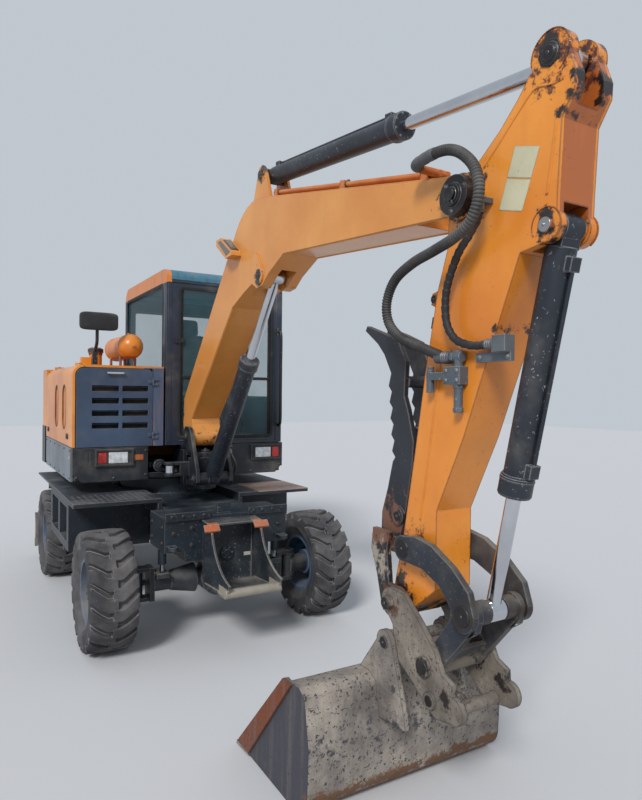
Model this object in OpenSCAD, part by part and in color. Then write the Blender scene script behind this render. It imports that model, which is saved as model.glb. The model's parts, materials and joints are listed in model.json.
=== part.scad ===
// Wheeled mini excavator with swing boom, thumb, quick coupler and wide bucket.
// Millimetres, +Z up, front of the machine towards -Y, cab on the +X side.
// The origin is on the ground under the slew axis.
// Side-view points are [forward, height], where forward is the distance towards -Y.

/* [Wheels and axles] */
// Forward distance from the slew axis to the front axle
front_axle_f = 1250; // [1200:5:1300]
// Distance from the slew axis back to the rear axle
rear_axle_b = 855; // [820:5:900]
// Distance between the tyre centres of one axle
track = 1637; // [1600:1:1680]
// Radius of the tyre over its lugs
tyre_r = 408; // [400:1:416]
// Width of the tyre
tyre_w = 305; // [290:1:320]
// Height of the tread lugs
lug_h = 27; // [18:1:32]
// Width of one tread lug along the tread
lug_w = 72; // [60:1:84]
// Number of lugs on each half of the tread
lug_count = 19; // [16:1:24]
// Angle that the middle of a lug leads its shoulder end
lug_lead = 15; // [8:1:20]
// Bead radius of the rim
rim_r = 209; // [200:1:216]
// Width of the rim between its beads
rim_w = 225; // [210:1:240]
// Radius of the axle tube
axle_r = 64; // [56:1:72]
// Distance from the machine's middle plane to a kingpin
kingpin_x = 606; // [590:1:620]
// Length of a steering arm behind its kingpin
steer_arm = 190; // [175:1:205]

/* [Chassis] */
// Width of the main frame box
frame_w = 640; // [600:5:680]
// Height of the frame's underside
frame_z0 = 590; // [575:1:605]
// Height of the frame's top
frame_z1 = 880; // [860:1:900]
// Forward distance of the frame's front face
frame_f = 1480; // [1465:5:1500]
// Distance of the frame's rear face behind the slew axis
frame_b = 1190; // [1160:5:1220]
// Width of the bolted front box
nose_w = 930; // [880:5:940]
// Height of the top of the steps and fenders
step_z = 950; // [935:1:960]
// Outer half width of the steps
step_x = 970; // [940:5:990]
// Radius of the slew tower and its bearing
slew_r = 420; // [390:5:440]
// Length of the bucket rest in front of the frame
rest_f = 470; // [420:5:520]

/* [Blade] */
// Width of the dozer blade
blade_w = 1900; // [1700:10:1960]
// Height of the dozer blade
blade_h = 360; // [320:5:400]
// Height of the blade's edge above the ground
blade_z = 100; // [60:5:140]
// Distance of the blade's pivot behind the frame
blade_pivot_b = 60; // [50:1:80]
// Distance of the blade's face behind its pivot
blade_reach = 400; // [360:5:430]

/* [Upper structure] */
// Forward distance of the upper structure's front face
upper_f = 518; // [500:1:530]
// Half width of the upper structure
upper_x = 916; // [890:1:930]
// Tail swing radius
tail_r = 1650; // [1620:5:1680]
// Height of the underside of the skirts
skirt_z = 1050; // [1040:1:1058]
// Height of the seam above the skirts
seam_z = 1325; // [1300:5:1345]
// Height of the hood's top
hood_z = 1985; // [1940:5:2020]
// Thickness of a body panel
panel_t = 20; // [14:1:26]
// Height of the counterweight's top
weight_z = 1420; // [1380:5:1460]
// Thickness of the counterweight
weight_t = 180; // [150:5:190]

/* [Cab] */
// Place of the cab's right wall
cab_x0 = -180; // [-190:1:-165]
// Place of the cab's left wall
cab_x1 = 905; // [890:1:912]
// Distance of the cab's rear wall behind the slew axis
cab_b = 940; // [900:5:950]
// Height of the cab's roof
cab_z = 2820; // [2760:5:2860]
// Thickness of the cab's walls and posts
cab_t = 45; // [38:1:52]
// Thickness of the glass
glass_t = 6; // [5:1:8]
// Height of the joint between the two windscreen panes
screen_split_z = 1905; // [1850:5:1950]
// Distance of the door's rear edge behind the slew axis
door_b = 330; // [280:5:360]

/* [Swing post and boom] */
// Place of the boom's middle plane
boom_x = 80; // [70:1:90]
// Forward distance of the swing axis
swing_f = 770; // [760:1:780]
// Forward distance of the boom's foot pin
foot_f = 730; // [720:1:740]
// Height of the boom's foot pin
foot_z = 1410; // [1395:1:1425]
// Forward distance of the boom cylinder's lower pin
lift_base_f = 930; // [920:1:940]
// Height of the boom cylinder's lower pin
lift_base_z = 1085; // [1075:1:1095]
// Forward distance of the boom cylinder's upper pin
lift_top_f = 2064; // [2050:1:2080]
// Height of the boom cylinder's upper pin
lift_top_z = 2524; // [2510:1:2540]
// Width of the boom
boom_w = 240; // [220:1:250]
// Forward distance of the pin between boom and arm
elbow_f = 3905; // [3880:5:3930]
// Height of the pin between boom and arm
elbow_z = 2533; // [2510:1:2550]

/* [Arm and linkage] */
// Width of the arm
arm_w = 190; // [180:1:196]
// Forward distance of the arm cylinder's rod pin
crown_f = 4295; // [4270:5:4320]
// Height of the arm cylinder's rod pin
crown_z = 2911; // [2890:1:2930]
// Forward distance of the arm's tip pin
tip_f = 3534; // [3520:1:3550]
// Height of the arm's tip pin
tip_z = 867; // [860:1:880]
// Forward distance of the guide links' pin on the arm
link_f = 3613; // [3605:1:3625]
// Height of the guide links' pin on the arm
link_z = 1118; // [1105:1:1130]
// Forward distance of the bucket cylinder's rod pin
rod_f = 3978; // [3965:1:3990]
// Height of the bucket cylinder's rod pin
rod_z = 940; // [930:1:955]
// Thickness of a guide link
link_t = 28; // [24:1:30]
// Thickness of the coupler's side plates
coupler_t = 25; // [20:1:28]
// Radius of the main working pins
pin_r = 27; // [24:1:30]

/* [Bucket and thumb] */
// Width of the bucket
bucket_w = 1090; // [1000:10:1150]
// Length of the bucket's floor from its heel to its lip
bucket_l = 600; // [560:5:640]
// Height of the bucket's back
bucket_h = 500; // [480:5:520]
// Thickness of the bucket's plates
bucket_t = 16; // [12:1:20]
// Radius of the bucket's torque tube
tube_r = 50; // [44:1:56]
// Thickness of the thumb's side plates
thumb_t = 24; // [20:1:26]

/* [Hidden] */

// Roundness of exact circles and of circles inside hulls
$fn = 48;
hull_fn = 16;
// Running gap at a pin, and the seat gap between pieces that rest on each other
run = 0.05;
seat = 0.3;
// Working clearance between moving plates
clear = 5;

// Pins of the working gear in the boom's plane
foot = [foot_f, foot_z];
lift_base = [lift_base_f, lift_base_z];
lift_top = [lift_top_f, lift_top_z];
elbow = [elbow_f, elbow_z];
crown = [crown_f, crown_z];
tip = [tip_f, tip_z];
link_pin = [link_f, link_z];
rod_pin = [rod_f, rod_z];
h_pin = tip + [235, -194];
ear_pin = tip + [-8, -173];
arm_base = lift_top + [-74, 666];
bucket_base = crown + [-6, -569];
thumb_base = link_pin + [80, 1052];
thumb_boss = tip + [-48, 360];

axle_z = tyre_r;
wheel_x = track/2;
hood_b = cab_b + 120;
boss_x = arm_w/2;
h_x = boss_x + 3;
h_t = link_t;
guide_x = h_x + h_t + 4;
coupler_x = guide_x + 3;
thumb_x = boss_x + 4;
pin_x = coupler_x + coupler_t + 30;

// Side-view extrusion: children drawn in [forward, height], w wide, middle at x
module side(w, x = boom_x) {
  translate([x, 0, 0]) rotate([90, 0, -90]) linear_extrude(w, center = true) children();
}

// A pair of side-view plates, inner faces at +-gap from the plane x
module plates(gap, t, x = boom_x) {
  for (s = [-1, 1]) side(t, x + s*(gap + t/2)) children();
}

// Round bar across the machine at side-view point p
module across(p, r, w, x = boom_x) {
  translate([x, -p[0], p[1]]) rotate([0, 90, 0]) cylinder(h = w, r = r, center = true);
}

// Flat bar in side view from p to q with round ends
module bar2d(p, q, rp, rq) {
  d = (q - p)/norm(q - p);
  n = [-d[1], d[0]]*0.985;
  translate(p) circle(rp);
  translate(q) circle(rq);
  polygon([p + n*rp, q + n*rq, q - n*rq, p - n*rp]);
}

// Points of an arc about c, from angle a0 to a1 in n steps
function arc(c, r, a0, a1, n) = [for (i = [0:n]) c + r*[cos(a0 + (a1 - a0)*i/n), sin(a0 + (a1 - a0)*i/n)]];

// Places children along the side-view line from p to q, local +Z on the line
module along(p, q, x = boom_x) {
  d = q - p;
  translate([x, -p[0], p[1]]) rotate([atan2(d[0], d[1]), 0, 0]) children();
}

// Hydraulic barrel on local +Z: base eye and neck, tube with a blind bore, gland collar, two ports
module barrel(len, r, rod_r, eye_r, eye_w, pin = pin_r, port = 1) {
  foot_h = eye_r + 13;
  color([0.11, 0.15, 0.22]) difference() {
    union() {
      rotate([0, 90, 0]) cylinder(h = eye_w, r = eye_r, center = true);
      translate([-eye_w/2, -eye_r*0.75, 0]) cube([eye_w, eye_r*1.5, foot_h + 4]);
      translate([0, 0, foot_h]) cylinder(h = len - foot_h, r = r);
      translate([0, 0, len - 70]) cylinder(h = 70, r = r + 9);
      for (z = [foot_h + 30, len - 130]) translate([-r*0.45, port > 0 ? r - 6 : -r - 20, z])
        cube([r*0.9, 26, 50]);
      translate([0, port*(r + 10), foot_h + 60]) cylinder(h = len - foot_h - 170, r = 8);
    }
    translate([0, 0, foot_h + 14]) cylinder(h = len, r = rod_r + run);
    rotate([0, 90, 0]) cylinder(h = eye_w + 2, r = pin + run, center = true);
  }
}

// Chromed rod on local +Z ending in its eye at height len
module rod(len, inside, rod_r, eye_r, eye_w) {
  color([0.75, 0.77, 0.8]) {
    translate([0, 0, inside]) cylinder(h = len - inside - eye_r*0.5, r = rod_r);
    translate([0, 0, len]) rotate([0, 90, 0]) cylinder(h = eye_w, r = eye_r, center = true);
  }
}

// Puts children at a wheel: s = 1 left, -1 right; local +X points outwards
module at_wheel(s, f) {
  translate([s*wheel_x, -f, axle_z]) mirror([s < 0 ? 1 : 0, 0, 0]) children();
}

// Tyre about local X: carcass and two staggered rows of slanted lugs
tyre_fn = 30;
module tread_row() {
  root = asin((lug_w/2 + 7)/tyre_r);
  top = asin(lug_w/2/tyre_r);
  linear_extrude(tyre_w/2 + 4, twist = lug_lead, slices = 1, scale = 0.985) polygon([
    for (i = [0:lug_count - 1]) for (q = [[-root, lug_h], [-top, 0], [top, 0], [root, lug_h]])
      (tyre_r - q[1])*[cos(i*360/lug_count + q[0]), sin(i*360/lug_count + q[0])]
  ]);
}
module tyre() {
  half = rim_w/2;
  wall = tyre_w/2;
  crown_r = tyre_r - lug_h - 4;
  bead_r = (rim_r + seat)/cos(180/tyre_fn);
  profile = [
    [bead_r, half], [rim_r + 20, half], [rim_r + 92, wall], [crown_r - 26, wall - 4], [crown_r - 4,
      wall - 22],
    [crown_r - 4, -wall + 22], [crown_r - 26, -wall + 4], [rim_r + 92, -wall], [rim_r + 20, -half],
      [bead_r, -half]
  ];
  m = len(profile);
  color([0.16, 0.16, 0.17]) union() {
    polyhedron(
      [for (i = [0:tyre_fn - 1]) for (q = profile) [q[1], q[0]*cos(i*360/tyre_fn),
        q[0]*sin(i*360/tyre_fn)]],
      [for (i = [0:tyre_fn - 1]) for (j = [0:m - 1])
        [i*m + j, ((i + 1)%tyre_fn)*m + j, ((i + 1)%tyre_fn)*m + (j + 1)%m, i*m + (j + 1)%m]]
    );
    difference() {
      union() {
        translate([-10, 0, 0]) rotate([0, 90, 0]) tread_row();
        mirror([1, 0, 0]) translate([-10, 0, 0]) rotate([0, 90, 0]) rotate([0, 0, 180/lug_count])
          tread_row();
      }
      rotate([0, 90, 0]) cylinder(h = 2*tyre_w, r = rim_r + 110, center = true, $fn = 12);
    }
  }
}

// Rim about local X: barrel with flanges, dished disc, hub with a blind spindle bore
spindle_r = 42;
spindle_l = 120;
disc_x = 30;
hub_in = -70;
module rim() {
  half = rim_w/2;
  color([0.16, 0.24, 0.36]) difference() {
    rotate([0, 90, 0]) rotate_extrude() polygon([
      [0, hub_in], [95, hub_in], [95, disc_x - 14], [150, disc_x - 14], [rim_r - 12, disc_x + 22],
      [rim_r - 12, -half - 6], [rim_r + 16, -half - 6], [rim_r + 16, -half - 0.5], [rim_r, -half - 0.5],
      [rim_r, half + 0.5], [rim_r + 16, half + 0.5], [rim_r + 16, half + 6], [rim_r - 12, half + 6],
      [rim_r - 12, disc_x + 40], [150, disc_x], [95, disc_x], [78, disc_x + 60], [0, disc_x + 60]
    ]);
    translate([hub_in - 1, 0, 0]) rotate([0, 90, 0]) cylinder(h = spindle_l + 1.5, r = spindle_r + run);
    for (i = [0:7]) rotate([i*45 + 22.5, 0, 0]) translate([0, 0, 168]) rotate([0, 90, 0])
      cylinder(h = 200, r = 17, center = true);
  }
}

module tyre_front_left() { at_wheel(1, front_axle_f) tyre(); }
module tyre_front_right() { at_wheel(-1, front_axle_f) tyre(); }
module tyre_rear_left() { at_wheel(1, -rear_axle_b) tyre(); }
module tyre_rear_right() { at_wheel(-1, -rear_axle_b) tyre(); }
module rim_front_left() { at_wheel(1, front_axle_f) rim(); }
module rim_front_right() { at_wheel(-1, front_axle_f) rim(); }
module rim_rear_left() { at_wheel(1, -rear_axle_b) rim(); }
module rim_rear_right() { at_wheel(-1, -rear_axle_b) rim(); }

// Distance from the wheel's middle plane to the inner face of its hub
hub_gap = 0.5;
hub_face_x = wheel_x + hub_in - hub_gap;

// Knuckle: kingpin barrel, flange, spindle and steering arm
knuckle_h = 180;
knuckle_r = 52;
module knuckle(s) {
  color([0.12, 0.15, 0.19]) translate([0, -front_axle_f, axle_z]) mirror([s < 0 ? 1 : 0, 0, 0]) union() {
    translate([kingpin_x, 0, 0]) cylinder(h = knuckle_h, r = knuckle_r, center = true);
    translate([kingpin_x, 0, 0]) cylinder(h = knuckle_h + 2*30, r = 22, center = true);
    translate([kingpin_x, 0, 0]) rotate([0, 90, 0]) cylinder(h = hub_face_x - kingpin_x, r = 70);
    translate([kingpin_x, 0, 0]) rotate([0, 90, 0])
      cylinder(h = hub_face_x - kingpin_x + spindle_l, r = spindle_r);
    translate([kingpin_x - 26, 0, -knuckle_h/2]) cube([52, steer_arm, 24]);
    translate([kingpin_x, steer_arm, -knuckle_h/2]) cylinder(h = 24, r = 32);
  }
}
module knuckle_left() { knuckle(1); }
module knuckle_right() { knuckle(-1); }

// Track rod resting on both steering arms
tie_z = axle_z - knuckle_h/2 + 24 + seat;
module tie_rod() {
  color([0.2, 0.22, 0.25]) translate([0, -front_axle_f + steer_arm, tie_z + 16]) {
    rotate([0, 90, 0]) cylinder(h = 2*kingpin_x - 40, r = 15, center = true);
    for (s = [-1, 1]) translate([s*kingpin_x, 0, -16]) cylinder(h = 34, r = 26);
    for (s = [-1, 1]) translate([s*(kingpin_x - 110), 0, 0]) rotate([0, 90, 0]) cylinder(h = 60,
      r = 20, center = true);
  }
}

// Front axle: tube, drive head, yokes with kingpin bores, saddle under the frame
module front_axle() {
  yoke_h = 28;
  arm_in = 500;
  color([0.12, 0.16, 0.2]) translate([0, -front_axle_f, axle_z]) difference() {
    union() {
      rotate([0, 90, 0]) cylinder(h = 2*arm_in, r = axle_r, center = true);
      rotate([90, 0, 0]) cylinder(h = 150, r = 140, center = true);
      translate([0, 60, 0]) rotate([-90, 0, 0]) cylinder(h = 92, r = 70);
      translate([-110, -90, axle_r - 20]) cube([220, 180, frame_z0 - axle_z - axle_r + 20]);
      for (s = [-1, 1]) {
        translate([s*180, 0, 0]) rotate([0, s*90, 0]) cylinder(h = 180, r1 = 105, r2 = axle_r + 6);
        translate([s*arm_in, 0, 0]) cube([36, 130, knuckle_h + 2*yoke_h], center = true);
        for (t = [-1, 1]) translate([0, 0, t*(knuckle_h/2 + yoke_h/2 + 0.5)]) {
          translate([s*(arm_in + kingpin_x)/2, 0, 0]) cube([kingpin_x - arm_in, 90, yoke_h - 1],
            center = true);
          translate([s*kingpin_x, 0, 0]) cylinder(h = yoke_h - 1, r = 45, center = true);
        }
        translate([s*440 - 45, -130, axle_r - 10]) cube([90, 160, 34]);
      }
    }
    for (s = [-1, 1]) translate([s*kingpin_x, 0, 0]) cylinder(h = 400, r = 22 + run, center = true);
  }
}

// Rear axle: tube, drive head, gearbox, propeller shaft stub, seats and spindles
module rear_axle() {
  color([0.12, 0.16, 0.2]) translate([0, rear_axle_b, axle_z]) union() {
    rotate([0, 90, 0]) cylinder(h = 2*hub_face_x, r = axle_r, center = true);
    rotate([0, 90, 0]) cylinder(h = 2*(hub_face_x + spindle_l), r = spindle_r, center = true);
    rotate([90, 0, 0]) cylinder(h = 160, r = 145, center = true);
    for (s = [-1, 1]) {
      translate([s*160, 0, 0]) rotate([0, s*90, 0]) cylinder(h = 200, r1 = 110, r2 = axle_r + 6);
      translate([s*(hub_face_x - 40), 0, 0]) rotate([0, 90, 0]) cylinder(h = 80, r = 100, center = true);
      translate([s*260 - 50, -70, axle_r - 25]) cube([100, 140, frame_z0 - axle_z - axle_r + 25]);
    }
    translate([0, -60, 0]) rotate([90, 0, 0]) cylinder(h = 130, r = 70);
    translate([-120, -420, -90]) cube([240, 240, frame_z0 - axle_z + 90]);
    translate([0, -400, 22]) rotate([90, 0, 0])
      cylinder(h = rear_axle_b + front_axle_f - 400 - 158, r = 36);
    translate([0, -190, 0]) rotate([90, 0, 0]) cylinder(h = 20, r = 60);
  }
}

// Chassis frame with front box, slew tower, lugs for the blade, tie-down eyes and lock rams
eye_z = 700;
eye_r = 20;
eye_f = frame_f + 50;
eye_x = nose_w/2 - 45;
blade_lug_x = 270;
blade_pivot = [-(frame_b + blade_pivot_b), frame_z0 + 30];
blade_cyl_base = [-(frame_b + 55), frame_z1 - 60];
module frame() {
  color([0.1, 0.13, 0.17]) difference() {
    union() {
      translate([-frame_w/2, -frame_f, frame_z0]) cube([frame_w, frame_f + frame_b, frame_z1 - frame_z0]);
      translate([-nose_w/2, -frame_f, frame_z0 + 70]) cube([nose_w, 360, frame_z1 - frame_z0 - 50]);
      // Plate with a gusset in front of the tower
      translate([-62, -frame_f + 60, frame_z1]) cube([108, 16, 92]);
      side(14, -8) polygon([[frame_f - 70, frame_z1 + 20], [frame_f - 70, frame_z1 + 80],
        [frame_f - 250, frame_z1 + 20]]);
      for (s = [-1, 1]) {
        translate([s*(nose_w/2 - 160) - 160, -frame_f - 22, frame_z1 + 2]) cube([320, 24, 53]);
        translate([s*eye_x - 34, -eye_f, eye_z - 12]) cube([68, eye_f - frame_f + 2, 25]);
        translate([s*eye_x, -eye_f, eye_z - 12]) cylinder(h = 25, r = 34);
        translate([s*440, -front_axle_f - 90, axle_z + axle_r + 24]) cylinder(h = 120, r = 17);
        translate([s*440, -front_axle_f - 90, axle_z + axle_r + 84]) cylinder(h = 110, r = 30);
      }
      plates(blade_lug_x - 60, 30, 0) polygon([
        [-frame_b + 2, frame_z0], [-frame_b + 2, frame_z0 + 160], blade_pivot + [0, 60],
          blade_pivot + [-45, 20],
        blade_pivot + [-45, -30], blade_pivot + [0, -48]
      ]);
      plates(30, 22, 0) union() {
        translate(blade_cyl_base) circle(40);
        polygon([
          [-frame_b + 2, frame_z1 - 130], [-frame_b + 2, frame_z1 - 5], blade_cyl_base + [0, 39.5],
          blade_cyl_base + [-10, -38]
        ]);
      }
    }
    for (s = [-1, 1]) translate([s*eye_x, -eye_f, 0]) cylinder(h = 2000, r = eye_r);
    across(blade_pivot, 22 + run, 900, 0);
  }
  color([0.3, 0.3, 0.32]) across(blade_cyl_base, 20, 130, 0);
}

// Tower under the slewing deck with its flange
module slew_tower() {
  color([0.1, 0.13, 0.17]) union() {
    translate([0, 0, frame_z1 + seat]) cylinder(h = 150 - seat, r = slew_r);
    translate([0, 0, frame_z1 + seat]) cylinder(h = 30, r = slew_r + 50);
  }
}

// Bracket in front of the frame that carries the bucket on the road
module bucket_rest() {
  f0 = frame_f + seat;
  top_z = frame_z1 - 5;
  color([0.14, 0.18, 0.22]) union() {
    plates(178, 14, 0) polygon(concat(
      [[f0, 420], [f0, top_z], [f0 + 150, top_z - 12]],
      arc([f0 + 560, top_z + 60], 410, 190, 262, 8),
      [[f0 + rest_f - 4, 470], [f0 + rest_f - 30, 430]]
    ));
    side(400, 0) polygon([[f0, top_z - 14], [f0, top_z], [f0 + 150, top_z - 12], [f0 + 150, top_z - 26]]);
    for (s = [-1, 1]) side(110, s*185) polygon([
      [f0 + 148, top_z - 12], [f0 + 185, top_z - 50], [f0 + 175, top_z - 62], [f0 + 140, top_z - 28]
    ]);
    side(400, 0) polygon([[f0 + 60, 424], [f0 + 60, 440], [f0 + rest_f - 40, 462],
      [f0 + rest_f - 40, 446]]);
    across([f0 + rest_f - 28, 462], 28, 400, 0);
    side(380, 0) polygon([[f0, 420], [f0, top_z - 5], [f0 + 14, top_z - 5], [f0 + 14, 420]]);
  }
}

// Steps, fenders, tool box on the right and tank on the left
module side_boxes() {
  x0 = frame_w/2 + seat;
  box_f = 560;
  box_b = 400;
  z0 = 530;
  color([0.12, 0.15, 0.19]) for (s = [-1, 1]) mirror([s < 0 ? 1 : 0, 0, 0]) difference() {
    union() {
    // Step plate and rear fender
    translate([x0, -920, step_z - 30]) cube([step_x - x0, 1330, 30]);
    translate([x0, box_b, step_z - 14]) cube([step_x - x0, frame_b - box_b - 10, 14]);
    translate([x0, box_b, step_z - 60]) cube([step_x - x0, 14, 60]);
    // Box under the step, its outer wall a ladder with two openings
    difference() {
      translate([x0, -box_f, z0]) cube([step_x - 20 - x0, box_f + box_b, step_z - 29 - z0]);
      translate([step_x - 120, -box_f + 70, z0 + 60]) cube([200, 380, 270]);
      translate([step_x - 120, -box_f + 510, z0 + 60]) cube([200, 380, 270]);
    }
    translate([x0, -915, step_z - 130]) cube([30, 400, 101]);
    }
    translate([0, 0, frame_z1 - 1]) cylinder(h = 200, r = slew_r + 66);
  }
}

// Dozer blade with its arms, curved face and pivot pin
module blade() {
  p = blade_pivot;
  b1 = p[0] - blade_reach;
  color([0.12, 0.15, 0.19]) union() {
    plates(blade_lug_x - 60 - 36, 30, 0) polygon([
      p + [45, 10], p + [30, 45], p + [-30, 48], [b1 + 30, blade_z + blade_h - 40],
      [b1 + 30, blade_z + 60], p + [-30, -48], p + [30, -45]
    ]);
    side(blade_w, 0) polygon(concat(
      arc([b1 - 330, blade_z + blade_h/2], 360, 30, -30, 8),
      arc([b1 - 346, blade_z + blade_h/2], 360, -30, 30, 8)
    ));
    side(blade_w, 0) polygon([
      [b1 - 36, blade_z - 2], [b1 - 36, blade_z + 80], [b1 - 14, blade_z + 86], [b1 - 14, blade_z - 2]
    ]);
    for (s = [-1, 1]) across(p, 22, 110, s*(blade_lug_x - 45));
    plates(33, 22, 0) polygon([
      [b1 + 26, blade_z + 120], [b1 + 26, blade_z + 300], [b1 + 110, blade_z + 250], [b1 + 118,
        blade_z + 190]
    ]);
  }
}
blade_rod_pin = [blade_pivot[0] - blade_reach + 80, blade_z + 222];
blade_cyl_l = norm(blade_rod_pin - blade_cyl_base);
module blade_barrel() { along(blade_cyl_base, blade_rod_pin, 0) barrel(400, 44, 24, 38, 56, 20); }
module blade_rod() { along(blade_cyl_base, blade_rod_pin, 0) rod(blade_cyl_l, 200, 24, 34, 58); }

// Upper frame: deck, slew ring and the bracket of the swing post
deck_z0 = 1062;
deck_z1 = 1100;
lug_z = [990, 1245];
lug_t = 40;
swing_pin_r = 38;
module upper_frame() {
  color([0.1, 0.12, 0.16]) difference() {
    union() {
      translate([0, 0, frame_z1 + 150.5]) cylinder(h = deck_z0 - frame_z1 - 150, r = slew_r - 30);
      intersection() {
        translate([-upper_x + panel_t + seat, -upper_f + panel_t + seat, deck_z0])
          cube([2*(upper_x - panel_t - seat), upper_f + tail_r, deck_z1 - deck_z0]);
        translate([0, 0, deck_z0]) cylinder(h = deck_z1 - deck_z0, r = tail_r - weight_t - seat, $fn = 200);
      }
      // Mounts under the cab
      for (q = [[boom_x - 60, -upper_f + 138], [cab_x1 - 105, -upper_f + 138], [cab_x0 + 60,
        cab_b - 140], [cab_x1 - 105, cab_b - 140]])
        translate([q[0], q[1], deck_z1 - 1]) cylinder(h = seam_z + 3 - seat - deck_z1, r = 42);
      for (z = lug_z) translate([0, 0, z]) {
        translate([boom_x, -swing_f, 0]) cylinder(h = lug_t, r = 88);
        translate([boom_x - 88, -swing_f, 0]) cube([176, swing_f - upper_f + 40, lug_t]);
      }
      for (s = [-1, 1]) translate([boom_x + s*100 - 14, -upper_f - 40, 0]) {
        translate([0, 0, lug_z[0]]) cube([28, 90, lug_z[1] + lug_t - lug_z[0]]);
        translate([0, 0, deck_z0]) cube([28, 300, lug_z[1] + lug_t - deck_z0]);
      }
      translate([boom_x - 114, -upper_f - 10, lug_z[0]]) cube([228, 30, lug_z[1] + lug_t - lug_z[0]]);
      // Clevis for the swing cylinder's barrel
      for (z = [deck_z1 - 1, swing_z + 38]) translate([swing_base[0] - 45, swing_base[1] - 45, z])
        cube([90, 110, 19]);
      translate([swing_base[0] - 45, swing_base[1] + 46, deck_z1 - 1]) cube([90, 20,
        swing_z + 57 - deck_z1]);
      translate([swing_base[0], swing_base[1], deck_z1 - 1]) cylinder(h = swing_z + 60 - deck_z1, r = 20);
    }
    translate([boom_x, -swing_f, 0]) cylinder(h = 3000, r = swing_pin_r + run);
    translate([boom_x - 114, -upper_f - 150, lug_z[0] + lug_t]) cube([228, 90,
      lug_z[1] - lug_z[0] - lug_t]);
  }
}

// Swing cylinder, lying beside the swing post in plan
swing_arm = 300;
swing_z = 1156;
swing_base = [boom_x - swing_arm, 240];
swing_eye = [boom_x - swing_arm, -swing_f - 10];
swing_l = swing_base[1] - swing_eye[1];
module swing_at() {
  translate([swing_base[0], swing_base[1], swing_z]) rotate([90, 0, 0]) rotate([0, 0, 90]) children();
}
module swing_barrel() { swing_at() barrel(735, 42, 24, 38, 70, 20); }
module swing_rod() { swing_at() rod(swing_l, 320, 24, 38, 60); }

// Swing post: turning body on its kingpin, cheeks for the boom, clevis for the swing rod
cheek_t = 28;
cheek_x = boom_w/2 + clear + 1;
module swing_post() {
  z0 = lug_z[0] + lug_t + 1;
  z1 = lug_z[1] - 1;
  body_f = lift_base_f - 72;
  color([0.09, 0.11, 0.14]) difference() {
    union() {
      translate([boom_x, -swing_f, z0]) cylinder(h = z1 - z0, r = 82);
      translate([boom_x, -swing_f, lug_z[0] - 12]) cylinder(h = lug_z[1] + lug_t + 24 - lug_z[0],
        r = swing_pin_r);
      // Front body between the lugs, carrying the cheeks
      translate([boom_x - cheek_x - cheek_t, -body_f, z0]) cube([2*(cheek_x + cheek_t),
        body_f - swing_f - 20, z1 - z0]);
      plates(cheek_x, cheek_t) polygon([
        [swing_f + 20, z0], lift_base + [30, -50], lift_base + [66, -20], lift_base + [62, 70],
        foot + [130, 0], foot + [80, 78], foot + [-20, 84], foot + [-82, 20], foot + [-60, -60],
        [swing_f - 40, lug_z[1] + lug_t + 8], [swing_f + 96, lug_z[1] + lug_t + 8], [swing_f + 96,
          z1], [swing_f + 20, z1]
      ]);
      // Arm to the right with the clevis for the swing cylinder
      for (t = [-1, 1]) translate([0, 0, swing_z + t*45 - 10]) {
        translate([swing_eye[0], swing_eye[1], 0]) cylinder(h = 20, r = 46);
        translate([swing_eye[0], swing_eye[1] - 40, 0]) cube([swing_arm, 80, 20]);
      }
      translate([swing_eye[0] + 70, swing_eye[1] - 40, swing_z - 45]) cube([swing_arm - 70, 80, 90]);
      // Fittings of the hoses
      for (q = [[825, 1335.5], [872, 1325.5], [850, 1040.5], [880, 1040.5]])
        across(q, 14, 40, boom_x + cheek_x + cheek_t + 19);
      // Pins in the cheeks
      across(foot, pin_r, 2*(cheek_x + cheek_t) + 24);
      for (s = [-1, 1]) across(lift_base, 50, cheek_x - 45, boom_x + s*(45 + (cheek_x - 45)/2));
    }
  }
  color([0.3, 0.3, 0.32]) across(lift_base, pin_r, 2*(cheek_x + cheek_t) + 24);
}

// Hoses on the swing post, bowed beside the boom cylinder from fitting to fitting
hose_c = [
  [256, -825, 1321], [260, -828, 1285], [280, -842, 1225], [290, -855, 1170], [280, -862, 1115],
    [262, -855, 1085],
  [256, -850, 1070], [256, -850, 1055]
];
hose_d = [
  [256, -872, 1311], [260, -876, 1275], [284, -892, 1220], [296, -902, 1170], [284, -900, 1115],
    [262, -886, 1085],
  [256, -880, 1070], [256, -880, 1055]
];
module post_hoses() {
  color([0.1, 0.1, 0.1]) hose(hose_c, 11);
  color([0.1, 0.1, 0.1]) hose(hose_d, 11);
}

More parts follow.
